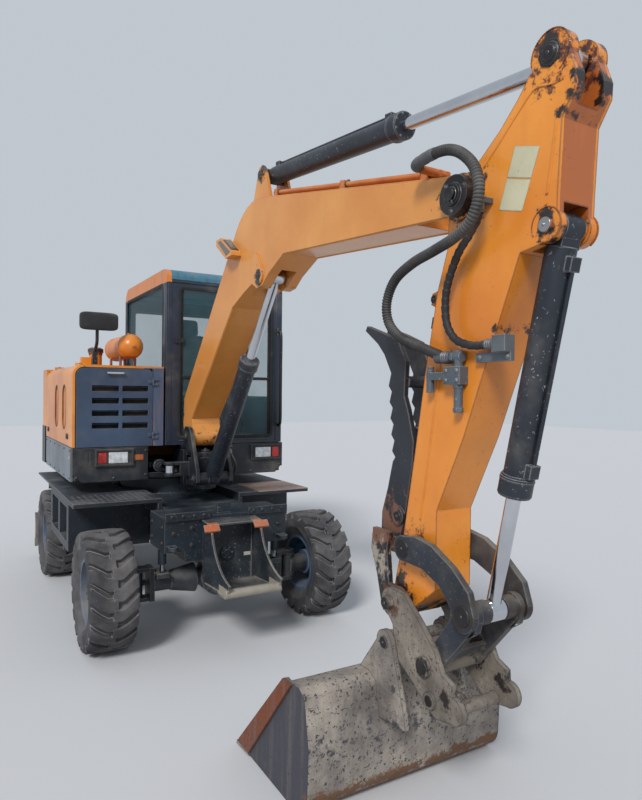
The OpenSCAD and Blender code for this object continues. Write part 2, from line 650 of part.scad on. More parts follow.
// Boom: bent box section with a forked nose, lugs for both cylinders
boom_slot_x = boss_x + clear + 1;
knee = lift_top + [-90, 200];
top_a = knee + [10, -130] + 430*[cos(78), sin(78)];
top_b = elbow + [-40, 88];
module boom() {
  color([0.86, 0.5, 0.13]) difference() {
    union() {
      side(boom_w) polygon(concat(
        [foot + [-42, 69], foot + [-158, 194], foot + [-153, 312]],
        arc(knee + [10, -130], 430, 138, 78, 6),
        [top_b],
        arc(elbow, 95, 60, -60, 8),
        [elbow + [-38, -62], lift_top + [330, 76], lift_top + [130, -10], lift_top + [40, -70],
         lift_top + [-40, -80], lift_top + [-120, -40], lift_top + [-230, -72], lift_top + [-451, -155]]
      ));
      side(boom_w) bar2d(foot, foot + [-60, 110], 78, 110);
      plates(63, 20) polygon([
        arm_base + [-150, -230], arm_base + [-50, 10], arm_base + [-30, 50], arm_base + [20, 58],
        arm_base + [60, 20], arm_base + [160, -230]
      ]);
      for (s = [-1, 1]) across(arm_base, 44, 18, boom_x + s*56);
      // Raised plates round the lift cylinder's pin, and the pin
      for (s = [-1, 1]) side(12, boom_x + s*(boom_w/2 + 5.9)) bar2d(lift_top, lift_top + [-60, 90], 62, 60);
      // Bosses at the elbow, box of the work lamp on the right face
      for (s = [-1, 1]) across(elbow, 88, 8, boom_x + s*(boom_w/2 + 3.9));
      side(70, boom_x - boom_w/2 - 34.9) polygon([
        lift_top + [-590, 330], lift_top + [-500, 330], lift_top + [-300, 200], lift_top + [-300, 175],
        lift_top + [-410, 170], lift_top + [-590, 290]
      ]);
    }
    // Foot pin bore and elbow bore
    across(foot, pin_r + run, 900);
    // Fork for the arm
    translate([boom_x - boom_slot_x, -elbow[0] - 300, elbow[1] - 400]) cube([2*boom_slot_x, 590, 800]);
    // Pocket for the lift cylinder's eye
    side(104) polygon([
      lift_top + [-330, -240], lift_top + [-190, 110], lift_top + [-60, 165], lift_top + [90, 120],
      lift_top + [200, -20], lift_top + [120, -240]
    ]);
  }
  // Elbow pin through the fork, arm cylinder's pin, halves of the lift cylinder's upper pin
  color([0.3, 0.3, 0.32]) {
    across(elbow, pin_r, boom_w + 130);
    for (s = [-1, 1]) across(elbow, 76, 34, boom_x + s*(boom_w/2 + 24.8));
    across(arm_base, pin_r, 190);
    for (s = [-1, 1]) across(lift_top, pin_r, boom_w/2 - 50, boom_x + s*(50 + (boom_w/2 - 50)/2));
  }
}

// Pipes along the boom's straight top with their clamps
module boom_pipes() {
  len = norm(top_b - top_a);
  color([0.8, 0.42, 0.12]) along(top_a, top_b, boom_x - 56) union() {
    for (x = [-20, 20]) translate([x, 32, 110]) cylinder(h = len - 250, r = 13);
    for (z = [130, len*0.5, len - 250]) translate([-38, seat, z]) cube([76, 50, 44]);
    translate([-110, 32, len - 156]) rotate([0, 90, 0]) cylinder(h = 142, r = 17);
  }
}

lift_l = norm(lift_top - lift_base);
module boom_barrel() { along(lift_base, lift_top) barrel(1170, 62, 32, 50, 84); }
module boom_rod() { along(lift_base, lift_top) rod(lift_l, 700, 32, 46, 84); }
arm_l = norm(crown - arm_base);
module arm_barrel() { along(arm_base, crown) barrel(1410, 56, 30, 46, 92); }
module arm_rod() { along(arm_base, crown) rod(arm_l, 900, 30, 46, 84); }

// Arm: box section, crown plates, cylinder lugs, bored tip
module arm() {
  color([0.86, 0.5, 0.13]) difference() {
    side(arm_w) union() {
      polygon([
        crown + [-84, -35], crown + [-137, -100], crown + [-215, -176], crown + [-336, -268],
        elbow + [-95, -60], elbow + [-103, -182], elbow + [-158, -340],
        link_pin + [62, 740], link_pin + [0, 400], link_pin + [-72, 31], tip + [-62, 10],
        tip + [10, -62], tip + [100, 0], tip + [222, 100],
        link_pin + [145, 177], link_pin + [295, 484], bucket_base + [-196, -284],
        bucket_base + [-110, -73], bucket_base + [-20, -60], bucket_base + [42, -10],
        bucket_base + [45, 104], bucket_base + [58, 340], crown + [100, -150], crown + [103, -95],
          crown + [70, 0]
      ]);
      translate(crown) circle(80);
      translate(elbow) circle(96);
      translate(tip) circle(64);
      translate(bucket_base) circle(58);
    }
    across(elbow, pin_r + run, 400);
    across(tip, pin_r + run, 400);
    across(link_pin, 25 + run, 400);
    // Slot between the crown plates
    translate([boom_x - 50, -crown[0] - 300, crown[1] - 185]) cube([100, 700, 500]);
    // Slot for the bucket cylinder's eye
    side(122) translate(bucket_base) circle(82);
    side(122) polygon([
      bucket_base + [-96, -300], bucket_base + [-82, 0], bucket_base + [0, 82], bucket_base + [300, 0],
      bucket_base + [300, -300]
    ]);
  }
  color([0.86, 0.5, 0.13]) for (s = [-1, 1]) across(bucket_base, 44, 14, boom_x + s*55);
  // Halves of the crown pin, pins of the bucket cylinder and of the thumb cylinder
  color([0.3, 0.3, 0.32]) {
    for (s = [-1, 1]) across(crown, pin_r, boss_x - 40, boom_x + s*(50 + (boss_x - 40)/2));
    across(bucket_base, pin_r, arm_w + 20);
    across(thumb_base, 18, 140);
  }
  color([0.86, 0.5, 0.13]) plates(34, 22) polygon([
    thumb_base + [-30, -20], thumb_base + [-24, 26], thumb_base + [10, 34], thumb_base + [90, 60],
    thumb_base + [110, -90], thumb_base + [0, -34]
  ]);
}

// Valve block on the arm's right face with its elbows, and the bracket at the arm's front edge
arm_face = boom_x - boss_x - seat;
module arm_pipes() {
  color([0.35, 0.37, 0.4]) union() {
    translate([arm_face - 46, -3930, 1810]) cube([46, 90, 70]);
    translate([arm_face - 40, -3860, 1830]) cube([30, 130, 30]);
    translate([arm_face - 26, -3740, 1780]) cylinder(h = 90, r = 16);
    translate([arm_face - 26, -3905, 1700]) cylinder(h = 235, r = 17);
    translate([arm_face - 26, -3866, 1918]) rotate([90, 0, 0]) cylinder(h = 60, r = 20);
  }
  color([0.35, 0.37, 0.4]) {
    translate([arm_face - 20, -4160, 1892]) cube([20, 170, 34]);
    translate([arm_face - 50, -4160, 1925]) cube([50, 62 - seat, 60]);
    translate([arm_face - 62, -4030 - 18, 2474 + seat]) cube([62, 36, 20]);
  }
}

// Ring of n points of radius r about p, square to direction d
function ring(p, d, r, n) =
  let (w = d/norm(d), u = cross(w, abs(w[2]) < 0.9 ? [0, 0, 1] : [1, 0, 0]), a = u/norm(u), b = cross(w, a))
  [for (i = [0:n - 1]) p + r*(cos(i*360/n)*a + sin(i*360/n)*b)];
// Point at t on the smooth curve through four points
function between(a, b, c, d, t) =
  0.5*(2*b + (c - a)*t + (2*a - 5*b + 4*c - d)*t*t + (3*b - a - 3*c + d)*t*t*t);
// Curve through the route, k steps from point to point
function curve(q, k) = concat([for (i = [0:len(q) - 2]) for (j = [0:k - 1])
  between(q[max(i - 1, 0)], q[i], q[i + 1], q[min(i + 2, len(q) - 1)], j/k)], [q[len(q) - 1]]);
module hose(route, r, k = 3, n = 10) {
  c = curve(route, k);
  m = len(c);
  pts = [for (i = [0:m - 1]) each ring(c[i], c[min(i + 1, m - 1)] - c[max(i - 1, 0)], r, n)];
  polyhedron(pts, concat(
    [[for (j = [0:n - 1]) j]], [[for (j = [n - 1:-1:0]) (m - 1)*n + j]],
    [for (i = [0:m - 2]) for (j = [0:n - 1]) [i*n + j, i*n + n + j, i*n + n + (j + 1)%n, i*n + (j + 1)%n]]
  ));
}

// Corrugated hose past the elbow's cap to the valve block, and the wrapped hose behind it
hose_a = [
  [-92, -3710, 2697], [-103, -3712, 2697], [-113, -3722, 2698], [-119, -3750, 2700], [-121, -3830, 2704],
  [-121, -3920, 2692], [-124, -4000, 2650],
  [-128, -4070, 2575], [-130, -4092, 2480], [-128, -4052, 2395], [-124, -3960, 2352], [-118, -3840, 2328],
  [-112, -3700, 2303], [-104, -3575, 2255], [-98, -3512, 2170], [-92, -3520, 2080], [-84, -3600, 2008],
  [-66, -3720, 1960], [-46, -3820, 1922], [-41.3, -3864, 1918]
];
hose_b = [
  [-66, -4030, 2474], [-66, -4030, 2462], [-66, -4030, 2448], [-66, -4018, 2412], [-66, -3978, 2366],
  [-64, -3920, 2310], [-64, -3870, 2220], [-62, -3848, 2140],
  [-60, -3855, 2050], [-56, -3900, 1985], [-50, -3980, 1956], [-46, -4056, 1955], [-46, -4078, 1955],
  [-46, -4098, 1955]
];
module arm_hose_long() { color([0.12, 0.12, 0.12]) hose(hose_a, 21); }
module arm_hose_short() { color([0.1, 0.1, 0.1]) hose(hose_b, 15); }

bucket_cyl_l = norm(rod_pin - bucket_base);
module bucket_barrel() { along(bucket_base, rod_pin) barrel(960, 54, 28, 50, 92); }
module bucket_rod() { along(bucket_base, rod_pin) rod(bucket_cyl_l, 480, 28, 44, 76); }

// Guide links: two curved plates with their pins
module guide_links() {
  color([0.1, 0.12, 0.16]) union() {
    plates(guide_x, link_t) union() {
      polygon([
        link_pin + [-40, -30], link_pin + [-20, 48], link_pin + [80, 66], link_pin + [182, 50],
        rod_pin + [-57, 167], rod_pin + [32, 96], rod_pin + [62, 10], rod_pin + [30, -50],
        rod_pin + [-64, 15], rod_pin + [-126, 80], rod_pin + [-236, 122], link_pin + [10, -52]
      ]);
      translate(link_pin) circle(54);
      translate(rod_pin) circle(62);
    }
    across(link_pin, 25, 2*(guide_x + link_t));
    for (s = [-1, 1]) across(rod_pin, pin_r, guide_x + link_t - 42,
      boom_x + s*(42 + (guide_x + link_t - 42)/2));
  }
}

// H link: two plates, cross tube at its lower end, bosses on the rod pin
module h_link() {
  color([0.11, 0.13, 0.17]) difference() {
    union() {
      plates(h_x, h_t) union() {
        bar2d(rod_pin, h_pin, 54, 42);
        polygon([rod_pin + [40, -60], h_pin + [92, 96], h_pin + [60, 30], h_pin + [30, 60]]);
      }
      for (s = [-1, 1]) across(rod_pin, 46, h_x - 42, boom_x + s*(42 + (h_x - 42)/2));
      across(h_pin, 40, 2*(h_x + h_t));
      side(2*h_x + 2) polygon([h_pin + [20, 20], h_pin + [68, 84], h_pin + [82, 74], h_pin + [36, 10]]);
    }
    for (s = [-1, 1]) across(rod_pin, pin_r + run, h_x + h_t - 41, boom_x + s*(41.5 + (h_x + h_t - 41)/2));
  }
}

// Quick coupler: side plates on the tip pin, hook on the bucket's pin, cross tubes
module coupler() {
  b = tip + [274, -314];
  color([0.42, 0.4, 0.36]) difference() {
    union() {
      plates(coupler_x, coupler_t) union() {
        polygon([
          tip + [-41, -30], tip + [20, -90], tip + [30, -150], tip + [62, -230], b + [-80, 8],
          b + [-20, -40], b + [30, -60], b + [134, -40], b + [121, 104], h_pin + [99, 8],
          h_pin + [60, 80], tip + [200, -27], tip + [92, 60], tip + [10, 62]
        ]);
        translate(tip) circle(62);
        translate(ear_pin) circle(46);
        polygon([ear_pin + [0, -46], ear_pin + [0, 46], ear_pin + [70, 40], ear_pin + [90, -60]]);
        translate(b + [130, 10]) circle(52);
      }
      across(tip, pin_r, 2*pin_x);
      for (s = [-1, 1]) {
        across(h_pin, 40, 14, boom_x + s*(coupler_x + coupler_t + 6.9));
        across(b, 34, 12, boom_x + s*(coupler_x + coupler_t + 5.9));
      }
      across(b + [60, -30], 26, 2*coupler_x + 2);
      across(ear_pin + [72, -16], 22, 2*coupler_x + 2);
    }
    across(ear_pin, 25 + seat, 600);
  }
}

// Bucket: rolled shell, side plates with cutters, lip, torque tube, ears, cross pin
bucket_f = tip_f - 54;
bucket_z = 3;
ear_x = coupler_x + coupler_t + seat;
ear_t = 24;
module bucket() {
  f1 = bucket_f;
  f0 = f1 - bucket_l - 36;
  z0 = bucket_z;
  zt = bucket_z + bucket_h;
  tube = [f1 - 135, zt - 45];
  outer = concat([[f0, z0], [f1 - 90, z0]], arc([f1 - 90, z0 + 110], 110, -80, -8, 6),
    [[f1 + 28, z0 + 300], [f1 - 12, zt], [f1 - 60, zt + 26], [f1 - 150, zt + 22]]);
  color([0.5, 0.47, 0.42]) difference() {
    union() {
      // Side plates
      plates(bucket_w/2 - bucket_t, bucket_t) polygon(concat(outer, [[f1 - 180, zt + 26], [f0 + 20,
        z0 + 40]]));
      // Rolled shell
      side(bucket_w - 2) difference() {
        polygon(concat(outer, [[f1 - 150, zt + 22 - bucket_t]]));
        polygon(concat(
          [[f0 - 10, z0 + bucket_t], [f1 - 90, z0 + bucket_t]],
          arc([f1 - 90, z0 + 110], 110 - bucket_t, -80, -8, 6),
          [[f1 + 28 - bucket_t, z0 + 300], [f1 - 12 - bucket_t, zt - 6], [f1 - 64, zt + 26 - bucket_t],
           [f1 - 400, zt + 22 - bucket_t]]
        ));
      }
      // Lip and side cutters
      side(bucket_w + 10) polygon([[f0 - 60, z0], [f0 + 90, z0], [f0 + 90, z0 + 26], [f0, z0 + 26],
        [f0 - 60, z0 + 8]]);
      plates(bucket_w/2 - 1, 14) polygon([
        [f0 - 50, z0], [f0 - 10, z0 + 46], [f1 - 182, zt + 26], [f1 - 110, zt + 20], [f0 + 90, z0 + 10]
      ]);
      // Torque tube
      across(tube, tube_r, bucket_w - 10);
      // Ears
      plates(ear_x, ear_t) union() {
        translate(ear_pin) circle(54);
        polygon([
          ear_pin + [-53, 0], ear_pin + [53, 10], [f1 + 190, zt - 70], [f1 + 200, zt - 130],
          [f1 + 20, zt - 150], [f1 - 10, zt - 130], [f1 - 170, zt - 20]
        ]);
      }
      across(ear_pin, 25, 2*(ear_x + ear_t) + 12);
    }
  }
}

// Thumb: two legs on the tip pin, cross box behind the arm, serrated blades with a hooked end
blade_gap = 52;
module thumb() {
  teeth = [for (i = [0:4]) for (q = [[0, 0], [-24, 26]]) tip + [-84, 620] + i*[-8, 74] + q];
  color([0.13, 0.14, 0.16]) difference() {
    union() {
      plates(thumb_x, thumb_t) union() {
        polygon([
          tip + [-20, -60], tip + [-98, -68], tip + [-118, -20], tip + [-150, 90],
          tip + [-190, 183], tip + [-184, 290], tip + [-60, 290], tip + [-76, 208], tip + [-58,
            60], tip + [0, 58]
        ]);
        translate(tip) circle(60);
      }
      side(2*(thumb_x + thumb_t)) polygon([
        tip + [-196, 186], tip + [-188, 262], tip + [-70, 262], tip + [-82, 196]
      ]);
      plates(blade_gap, thumb_t) polygon(concat(
        [tip + [-186, 190], tip + [-180, 300], tip + [-178, 360], tip + [-136, 476], tip + [-102, 598]],
        teeth,
        [tip + [-122, 1000], tip + [-176, 1088], tip + [-228, 1140], tip + [-332, 1210], tip + [-318, 1232],
         tip + [-190, 1190], tip + [-74, 1146], tip + [-16, 1048], tip + [-26, 896], tip + [0,
           838], tip + [44, 698],
         tip + [38, 598], tip + [6, 440], tip + [-20, 330], tip + [-76, 190]]
      ));
      across(tip + [-40, 960], 26, 2*blade_gap + 2);
      across(tip + [-104, 540], 20, 2*blade_gap + 2);
      for (s = [-1, 1]) across(thumb_boss, 30, blade_gap - 33, boom_x + s*(34 + (blade_gap - 33)/2));
      for (s = [-1, 1]) across(thumb_boss, 40, 14, boom_x + s*(blade_gap + thumb_t + 6.9));
    }
    across(tip, pin_r + run, 700);
  }
}
thumb_l = norm(thumb_boss - thumb_base);
module thumb_barrel() { along(thumb_base, thumb_boss) barrel(700, 34, 18, 34, 60, 18, -1); }
module thumb_rod() { along(thumb_base, thumb_boss) rod(thumb_l, 150, 18, 32, 60); }

// Hinge on local Z, its leaves on panels whose faces are h behind it: fixed half towards +X, moving towards -X
module hinge_fixed(h) {
  cylinder(h = 60, r = 5, center = true);
  for (z = [-20, 20]) translate([0, 0, z]) {
    cylinder(h = 16, r = 9, center = true);
    translate([0, -3, -8]) cube([40, 8, 16]);
    translate([16, -3, -8]) cube([24, h + 4, 16]);
  }
}
module hinge_moving(h) {
  difference() {
    union() {
      cylinder(h = 22, r = 9, center = true);
      translate([-40, -3, -11]) cube([40, 8, 22]);
    }
    cylinder(h = 30, r = 5 + run, center = true);
  }
  translate([-40, -3, -11]) cube([24, h + 4, 22]);
}
module grille_hinges() {
  for (z = [seam_z + 90, hood_z - 130]) translate([-287, -upper_f - 10, z]) children();
}
module door_hinges() {
  for (z = [seam_z + 160, cab_z - 330]) translate([cab_x1 + 22, door_b + 2, z]) rotate([0, 0, 90])
    children();
}
module cover_hinges() {
  for (y = [-330, 830]) translate([-upper_x + 85, y, hood_z + 14]) rotate([-90, 0, 0]) children();
}
module lid_hinges() {
  for (x = [-560, 560]) translate([x, hood_b - 8, hood_z + 16]) rotate([-90, 0, -90]) children();
}

// Black front panels under the seam, with the lamp recesses
lamp_z = 1240;
lamp_x = [-595, 745];
module front_panels() {
  h = seam_z - skirt_z - 4;
  color([0.07, 0.08, 0.1]) difference() {
    union() {
      translate([-upper_x, -upper_f, skirt_z]) cube([590, panel_t, h]);
      translate([-upper_x, -upper_f, skirt_z]) cube([panel_t, 90, h]);
      translate([330, -upper_f, skirt_z]) cube([upper_x - 330, panel_t, h]);
      translate([upper_x - panel_t, -upper_f, skirt_z]) cube([panel_t, 90, h]);
      for (x = lamp_x) translate([x - 150, -upper_f - 22, lamp_z - 68]) cube([300, 24, 136]);
    }
    for (x = lamp_x) translate([x - 135, -upper_f - 23, lamp_z - 52]) cube([270, 17, 104]);
    for (s = [-1, 1]) translate([s*(upper_x - 8), -upper_f - 8, skirt_z - 22]) rotate([0, s*45, 0])
      cube([120, 260, 120], center = true);
  }
}

// Headlamps in their recesses
module lamps() {
  color([0.85, 0.87, 0.88]) for (x = lamp_x) translate([x, -upper_f - 6 - seat, lamp_z])
    mirror([x > 0 ? 1 : 0, 0, 0]) {
    translate([28, -6, 0]) cube([150, 12, 88], center = true);
    translate([-96, -6, 0]) cube([66, 12, 88], center = true);
  }
}

// Grey side skirts
module side_skirts() {
  color([0.45, 0.48, 0.5]) for (s = [-1, 1])
    translate([s > 0 ? upper_x - panel_t : -upper_x, -upper_f + 90 + seat, skirt_z])
      cube([panel_t, upper_f + hood_b - 90 - seat, seam_z - skirt_z - 4]);
}

// Counterweight round the tail
module counterweight() {
  color([0.09, 0.1, 0.12]) intersection() {
    difference() {
      translate([0, 0, skirt_z]) cylinder(h = weight_z - skirt_z, r = tail_r, $fn = 200);
      translate([0, 0, skirt_z - 1]) cylinder(h = weight_z - skirt_z + 2, r = tail_r - weight_t, $fn = 200);
    }
    translate([-upper_x, hood_b + seat, skirt_z - 1]) cube([2*upper_x, tail_r, weight_z]);
  }
}

// Fixed hood: top over the right side and behind the cab, pillar, inner walls
module hood() {
  color([0.9, 0.6, 0.12]) union() {
    translate([-upper_x + 85, -upper_f + 40, hood_z - panel_t]) cube([cab_x0 - 6 + upper_x - 85,
      hood_b + upper_f - 40, panel_t]);
    translate([-upper_x + 85, cab_b + 10, hood_z - panel_t]) cube([2*upper_x - 170,
      hood_b - cab_b - 10, panel_t]);
    translate([cab_x0 - 6 - panel_t, -upper_f + 40, seam_z + 2]) cube([panel_t,
      cab_b + upper_f - 30, hood_z - seam_z - 3]);
    translate([cab_x0 - 6 - panel_t, cab_b + 10, deck_z1]) cube([upper_x - 20 - cab_x0, panel_t,
      hood_z - deck_z1 - 1]);
    translate([-285, -upper_f, seam_z]) cube([85, 60, hood_z - seam_z - 20]);
    grille_hinges() hinge_fixed(10);
    cover_hinges() hinge_fixed(14);
    lid_hinges() hinge_fixed(16);
  }
}

// Right side cover with two oval insets, hinged along its top edge
module side_cover() {
  y0 = -upper_f + 12;
  len = hood_b + upper_f - 14;
  color([0.92, 0.62, 0.12]) cover_hinges() hinge_moving(24);
  color([0.92, 0.62, 0.12]) difference() {
    translate([0, y0 + len, 0]) rotate([90, 0, 0]) linear_extrude(len) polygon(concat(
      [[-upper_x, seam_z + 2]], arc([-upper_x + 85, hood_z - 85], 85, 180, 92, 6),
      arc([-upper_x + 85, hood_z - 85], 85 - panel_t, 92, 180, 6), [[-upper_x + panel_t, seam_z + 2]]
    ));
    for (y = [120, 560]) translate([-upper_x - 1, y - 200, 1640]) rotate([0, 90, 0]) {
      translate([-90, 0, 0]) cylinder(h = 9, r = 95);
      translate([90, 0, 0]) cylinder(h = 9, r = 95);
      translate([-90, -95, 0]) cube([180, 190, 9]);
    }
  }
}

// Front door with louvres, four rows in two columns
module grille_door() {
  x0 = -upper_x + 26;
  x1 = -289;
  mid_x = (x0 + x1)/2 + 40;
  top_z = hood_z - panel_t - 6;
  color([0.22, 0.29, 0.38]) difference() {
    translate([0, -upper_f + 34, 0]) rotate([90, 0, 0]) linear_extrude(34) polygon(concat(
      [[x0, seam_z + 2], [x1, seam_z + 2], [x1, top_z - 30], [x1 - 30, top_z]],
      arc([x0 + 60, top_z - 60], 60, 90, 180, 6)
    ));
    for (row = [0:3]) for (col = [-1, 1])
      translate([mid_x + col*118 - 105, -upper_f - 1, seam_z + 150 + row*100]) cube([210, 40, 46]);
  }
  color([0.22, 0.29, 0.38]) grille_hinges() hinge_moving(10);
  color([0.6, 0.62, 0.64]) union() {
    translate([mid_x - 110, -upper_f - 30, top_z - 44]) cube([130, 12, 14]);
    for (x = [-106, 6]) translate([mid_x + x, -upper_f - 20, top_z - 44]) cube([10, 21, 14]);
  }
}

// Rear hood lid over the engine
module rear_hood() {
  r = tail_r - 40;
  color([0.92, 0.62, 0.12]) difference() {
    intersection() {
      translate([0, 0, weight_z + 2]) cylinder(h = hood_z - weight_z - 2, r = r, $fn = 200);
      translate([-upper_x, hood_b + 6, weight_z]) cube([2*upper_x, tail_r, hood_z]);
    }
    intersection() {
      translate([0, 0, weight_z]) cylinder(h = hood_z - weight_z - panel_t, r = r - panel_t, $fn = 200);
      translate([-upper_x + panel_t, hood_b - 60, weight_z - 1]) cube([2*(upper_x - panel_t), tail_r, hood_z]);
    }
  }
  color([0.92, 0.62, 0.12]) lid_hinges() hinge_moving(16);
}

// Engine as one plain block
module engine() {
  color([0.3, 0.3, 0.3]) translate([-420, cab_b + 60, deck_z1]) cube([840, tail_r - weight_t - 150 - cab_b,
    620]);
}

// Air tank on legs, precleaner and filler box on the hood
module hood_fittings() {
  z = hood_z + 170;
  color([0.93, 0.6, 0.1]) {
    union() {
      translate([-430, 190, z]) rotate([90, 0, 0]) cylinder(h = 520, r = 102);
      for (y = [190, -330]) translate([-430, y, z]) sphere(r = 101);
      for (x = [-490, -370]) for (y = [-250, 120]) translate([x - 8, y, hood_z + seat]) cube([16, 40, 120]);
    }
    translate([-660, -50, hood_z + seat]) cylinder(h = 120, r = 52);
    translate([-660, -50, hood_z + 120]) cylinder(h = 34, r = 64);
    translate([-790, -140, hood_z + seat]) cube([80, 80, 75]);
  }
}

// Cab shell with its window and door openings
module cab_outline() {
  polygon(concat(
    [[upper_f - 6, seam_z + 2], [upper_f - 6, cab_z - 140]],
    arc([upper_f - 96, cab_z - 90], 90, 20, 90, 4),
    arc([-cab_b + 140, cab_z - 140], 140, 90, 180, 6),
    [[-cab_b, seam_z + 2]]
  ));
}
module cab() {
  w = cab_x1 - cab_x0;
  mid_x = (cab_x0 + cab_x1)/2;
  t = cab_t;
  color([0.16, 0.19, 0.25]) difference() {
    side(w, mid_x) cab_outline();
    side(w - 2*t, mid_x) polygon(concat(
      [[upper_f - 6 - t, seam_z + 40], [upper_f - 6 - t, cab_z - 170]],
      arc([upper_f - 96, cab_z - 90], 90 - t, 20, 90, 4),
      arc([-cab_b + 140, cab_z - 140], 140 - t, 90, 180, 6),
      [[-cab_b + t, seam_z + 40]]
    ));
    // Windscreen, right side window, rear window, door opening, rear quarter window
    translate([cab_x0 + 115, -upper_f - 60, seam_z + 60]) cube([w - 215, 200,
      cab_z - seam_z - 220]);
    translate([cab_x0 - 10, -upper_f + 110, 1700]) cube([t + 20, upper_f - 110 + cab_b - 80,
      cab_z - 1830]);
    translate([cab_x0 + 90, cab_b - 100, 1950]) cube([w - 180, 200, cab_z - 2160]);
    translate([cab_x1 - t - 10, -upper_f + 90, seam_z + 45]) cube([t + 20, upper_f - 90 + door_b,
      cab_z - seam_z - 195]);
    translate([cab_x1 - t - 10, door_b + 90, 1750]) cube([t + 20, cab_b - 160 - door_b, cab_z - 1900]);
  }
  color([0.08, 0.08, 0.09]) door_hinges() hinge_fixed(22);
}

// Fixed glass of the cab: two windscreen panes, right side, rear, rear quarter
module cab_glass() {
  w = cab_x1 - cab_x0;
  g = seat;
  x0 = cab_x0 + 115 + g;
  z1 = cab_z - 160 - g;
  color([0.55, 0.7, 0.68, 0.5]) {
    translate([x0, -upper_f + 22, seam_z + 60 + g]) cube([w - 215 - 2*g, glass_t,
      screen_split_z - seam_z - 60 - 2*g]);
    translate([x0, -upper_f + 22, screen_split_z + g]) cube([w - 215 - 2*g, glass_t,
      z1 - screen_split_z - g]);
    translate([cab_x0 + 14, -upper_f + 110 + g, 1700 + g]) cube([glass_t,
      upper_f - 110 + cab_b - 80 - 2*g, cab_z - 1830 - 2*g]);
    translate([cab_x0 + 90 + g, cab_b - 20, 1950 + g]) cube([w - 180 - 2*g, glass_t,
      cab_z - 2160 - 2*g]);
    translate([cab_x1 - 20, door_b + 90 + g, 1750 + g]) cube([glass_t, cab_b - 160 - door_b - 2*g,
      cab_z - 1900 - 2*g]);
  }
}

// Seat, consoles, levers and steering column on the cab's floor
module cab_interior() {
  z = seam_z + 40 + seat;
  mid_x = (cab_x0 + cab_x1)/2;
  color([0.12, 0.12, 0.13]) union() {
    translate([mid_x - 230, 60, z]) cube([460, 420, 300]);
    translate([mid_x - 260, 30, z + 299]) cube([520, 520, 120]);
    translate([mid_x - 250, 470, z + 400]) rotate([-10, 0, 0]) cube([500, 110, 620]);
    translate([mid_x - 130, 590, z + 1000]) rotate([-10, 0, 0]) cube([260, 80, 170]);
    for (s = [-1, 1]) {
      translate([mid_x + s*330 - 60, 20, z]) cube([120, 480, 540]);
      translate([mid_x + s*330, 70, z + 530]) cylinder(h = 200, r = 16);
      translate([mid_x + s*330, 70, z + 720]) sphere(r = 30);
    }
    translate([mid_x - 40, -330, z]) cube([80, 90, 560]);
    translate([mid_x, -285, z + 550]) rotate([25, 0, 0]) cylinder(h = 60, r = 24);
    translate([mid_x, -305, z + 610]) rotate([25, 0, 0]) rotate_extrude() translate([165, 0]) circle(14);
    translate([mid_x, -305, z + 610]) rotate([25, 0, 0]) cube([330, 24, 14], center = true);
    translate([mid_x - 440, -430, z]) cube([880, 1300, 6]);
  }
}

// Cab door with its window opening, and the door's glass
door_y0 = -upper_f + 93;
door_y1 = door_b - 3;
module cab_door() {
  color([0.16, 0.19, 0.25]) difference() {
    translate([cab_x1 - cab_t + 3, door_y0, seam_z + 48]) cube([cab_t - 3, door_y1 - door_y0,
      cab_z - seam_z - 201]);
    translate([cab_x1 - 80, door_y0 + 60, 1730]) cube([120, door_y1 - door_y0 - 120,
      cab_z - 1950]);
  }
  color([0.08, 0.08, 0.09]) union() {
    door_hinges() hinge_moving(22);
    translate([cab_x1 - 1, door_y0 + 40, 1640]) cube([9, 150, 60]);
    translate([cab_x1 + 7, door_y0 + 60, 1660]) cube([22, 100, 16]);
  }
}
module door_glass() {
  color([0.55, 0.7, 0.68, 0.5]) translate([cab_x1 - 22, door_y0 + 60 + seat, 1730 + seat])
    cube([glass_t, door_y1 - door_y0 - 120 - 2*seat, cab_z - 1950 - 2*seat]);
}

// Handrail at the left front corner, right mirror on its bent arm, small left mirror
module cab_rails() {
  x = cab_x1 - 40;
  color([0.08, 0.08, 0.09]) {
    union() {
      translate([x, -upper_f - 60, 1484]) cylinder(h = 870, r = 14);
      for (z = [1484, 2340]) translate([x, -upper_f + 6 - seat, z]) rotate([90, 0, 0])
        cylinder(h = 66, r = 12);
    }
    union() {
      translate([-860, -470, 2265]) cube([300, 45, 145]);
      translate([-735, -425, 2300]) cube([40, 40, 40]);
      translate([-715, -400, 2040]) cylinder(h = 270, r = 13);
      translate([-715, -410, 2050]) rotate([-60, 0, 0]) cylinder(h = 120, r = 13);
      translate([-740, -330, hood_z + seat]) cube([50, 50, 130]);
    }
  }
}

frame();
slew_tower();
front_axle();
rear_axle();
bucket_rest();
side_boxes();
knuckle_left();
knuckle_right();
tie_rod();
tyre_front_left();
tyre_front_right();
tyre_rear_left();
tyre_rear_right();
rim_front_left();
rim_front_right();
rim_rear_left();
rim_rear_right();
blade();
blade_barrel();
blade_rod();
upper_frame();
front_panels();
side_skirts();
counterweight();
hood();
side_cover();
grille_door();
rear_hood();
engine();
hood_fittings();
lamps();
cab();
cab_glass();
cab_interior();
cab_rails();
cab_door();
door_glass();
swing_post();
post_hoses();
swing_barrel();
swing_rod();
boom();
boom_pipes();
boom_barrel();
boom_rod();
arm_barrel();
arm_rod();
arm();
arm_pipes();
arm_hose_long();
arm_hose_short();
bucket_barrel();
bucket_rod();
guide_links();
h_link();
coupler();
bucket();
thumb();
thumb_barrel();
thumb_rod();
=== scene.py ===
import bmesh
import bpy
import json
import math
import random
from mathutils import Matrix, Vector

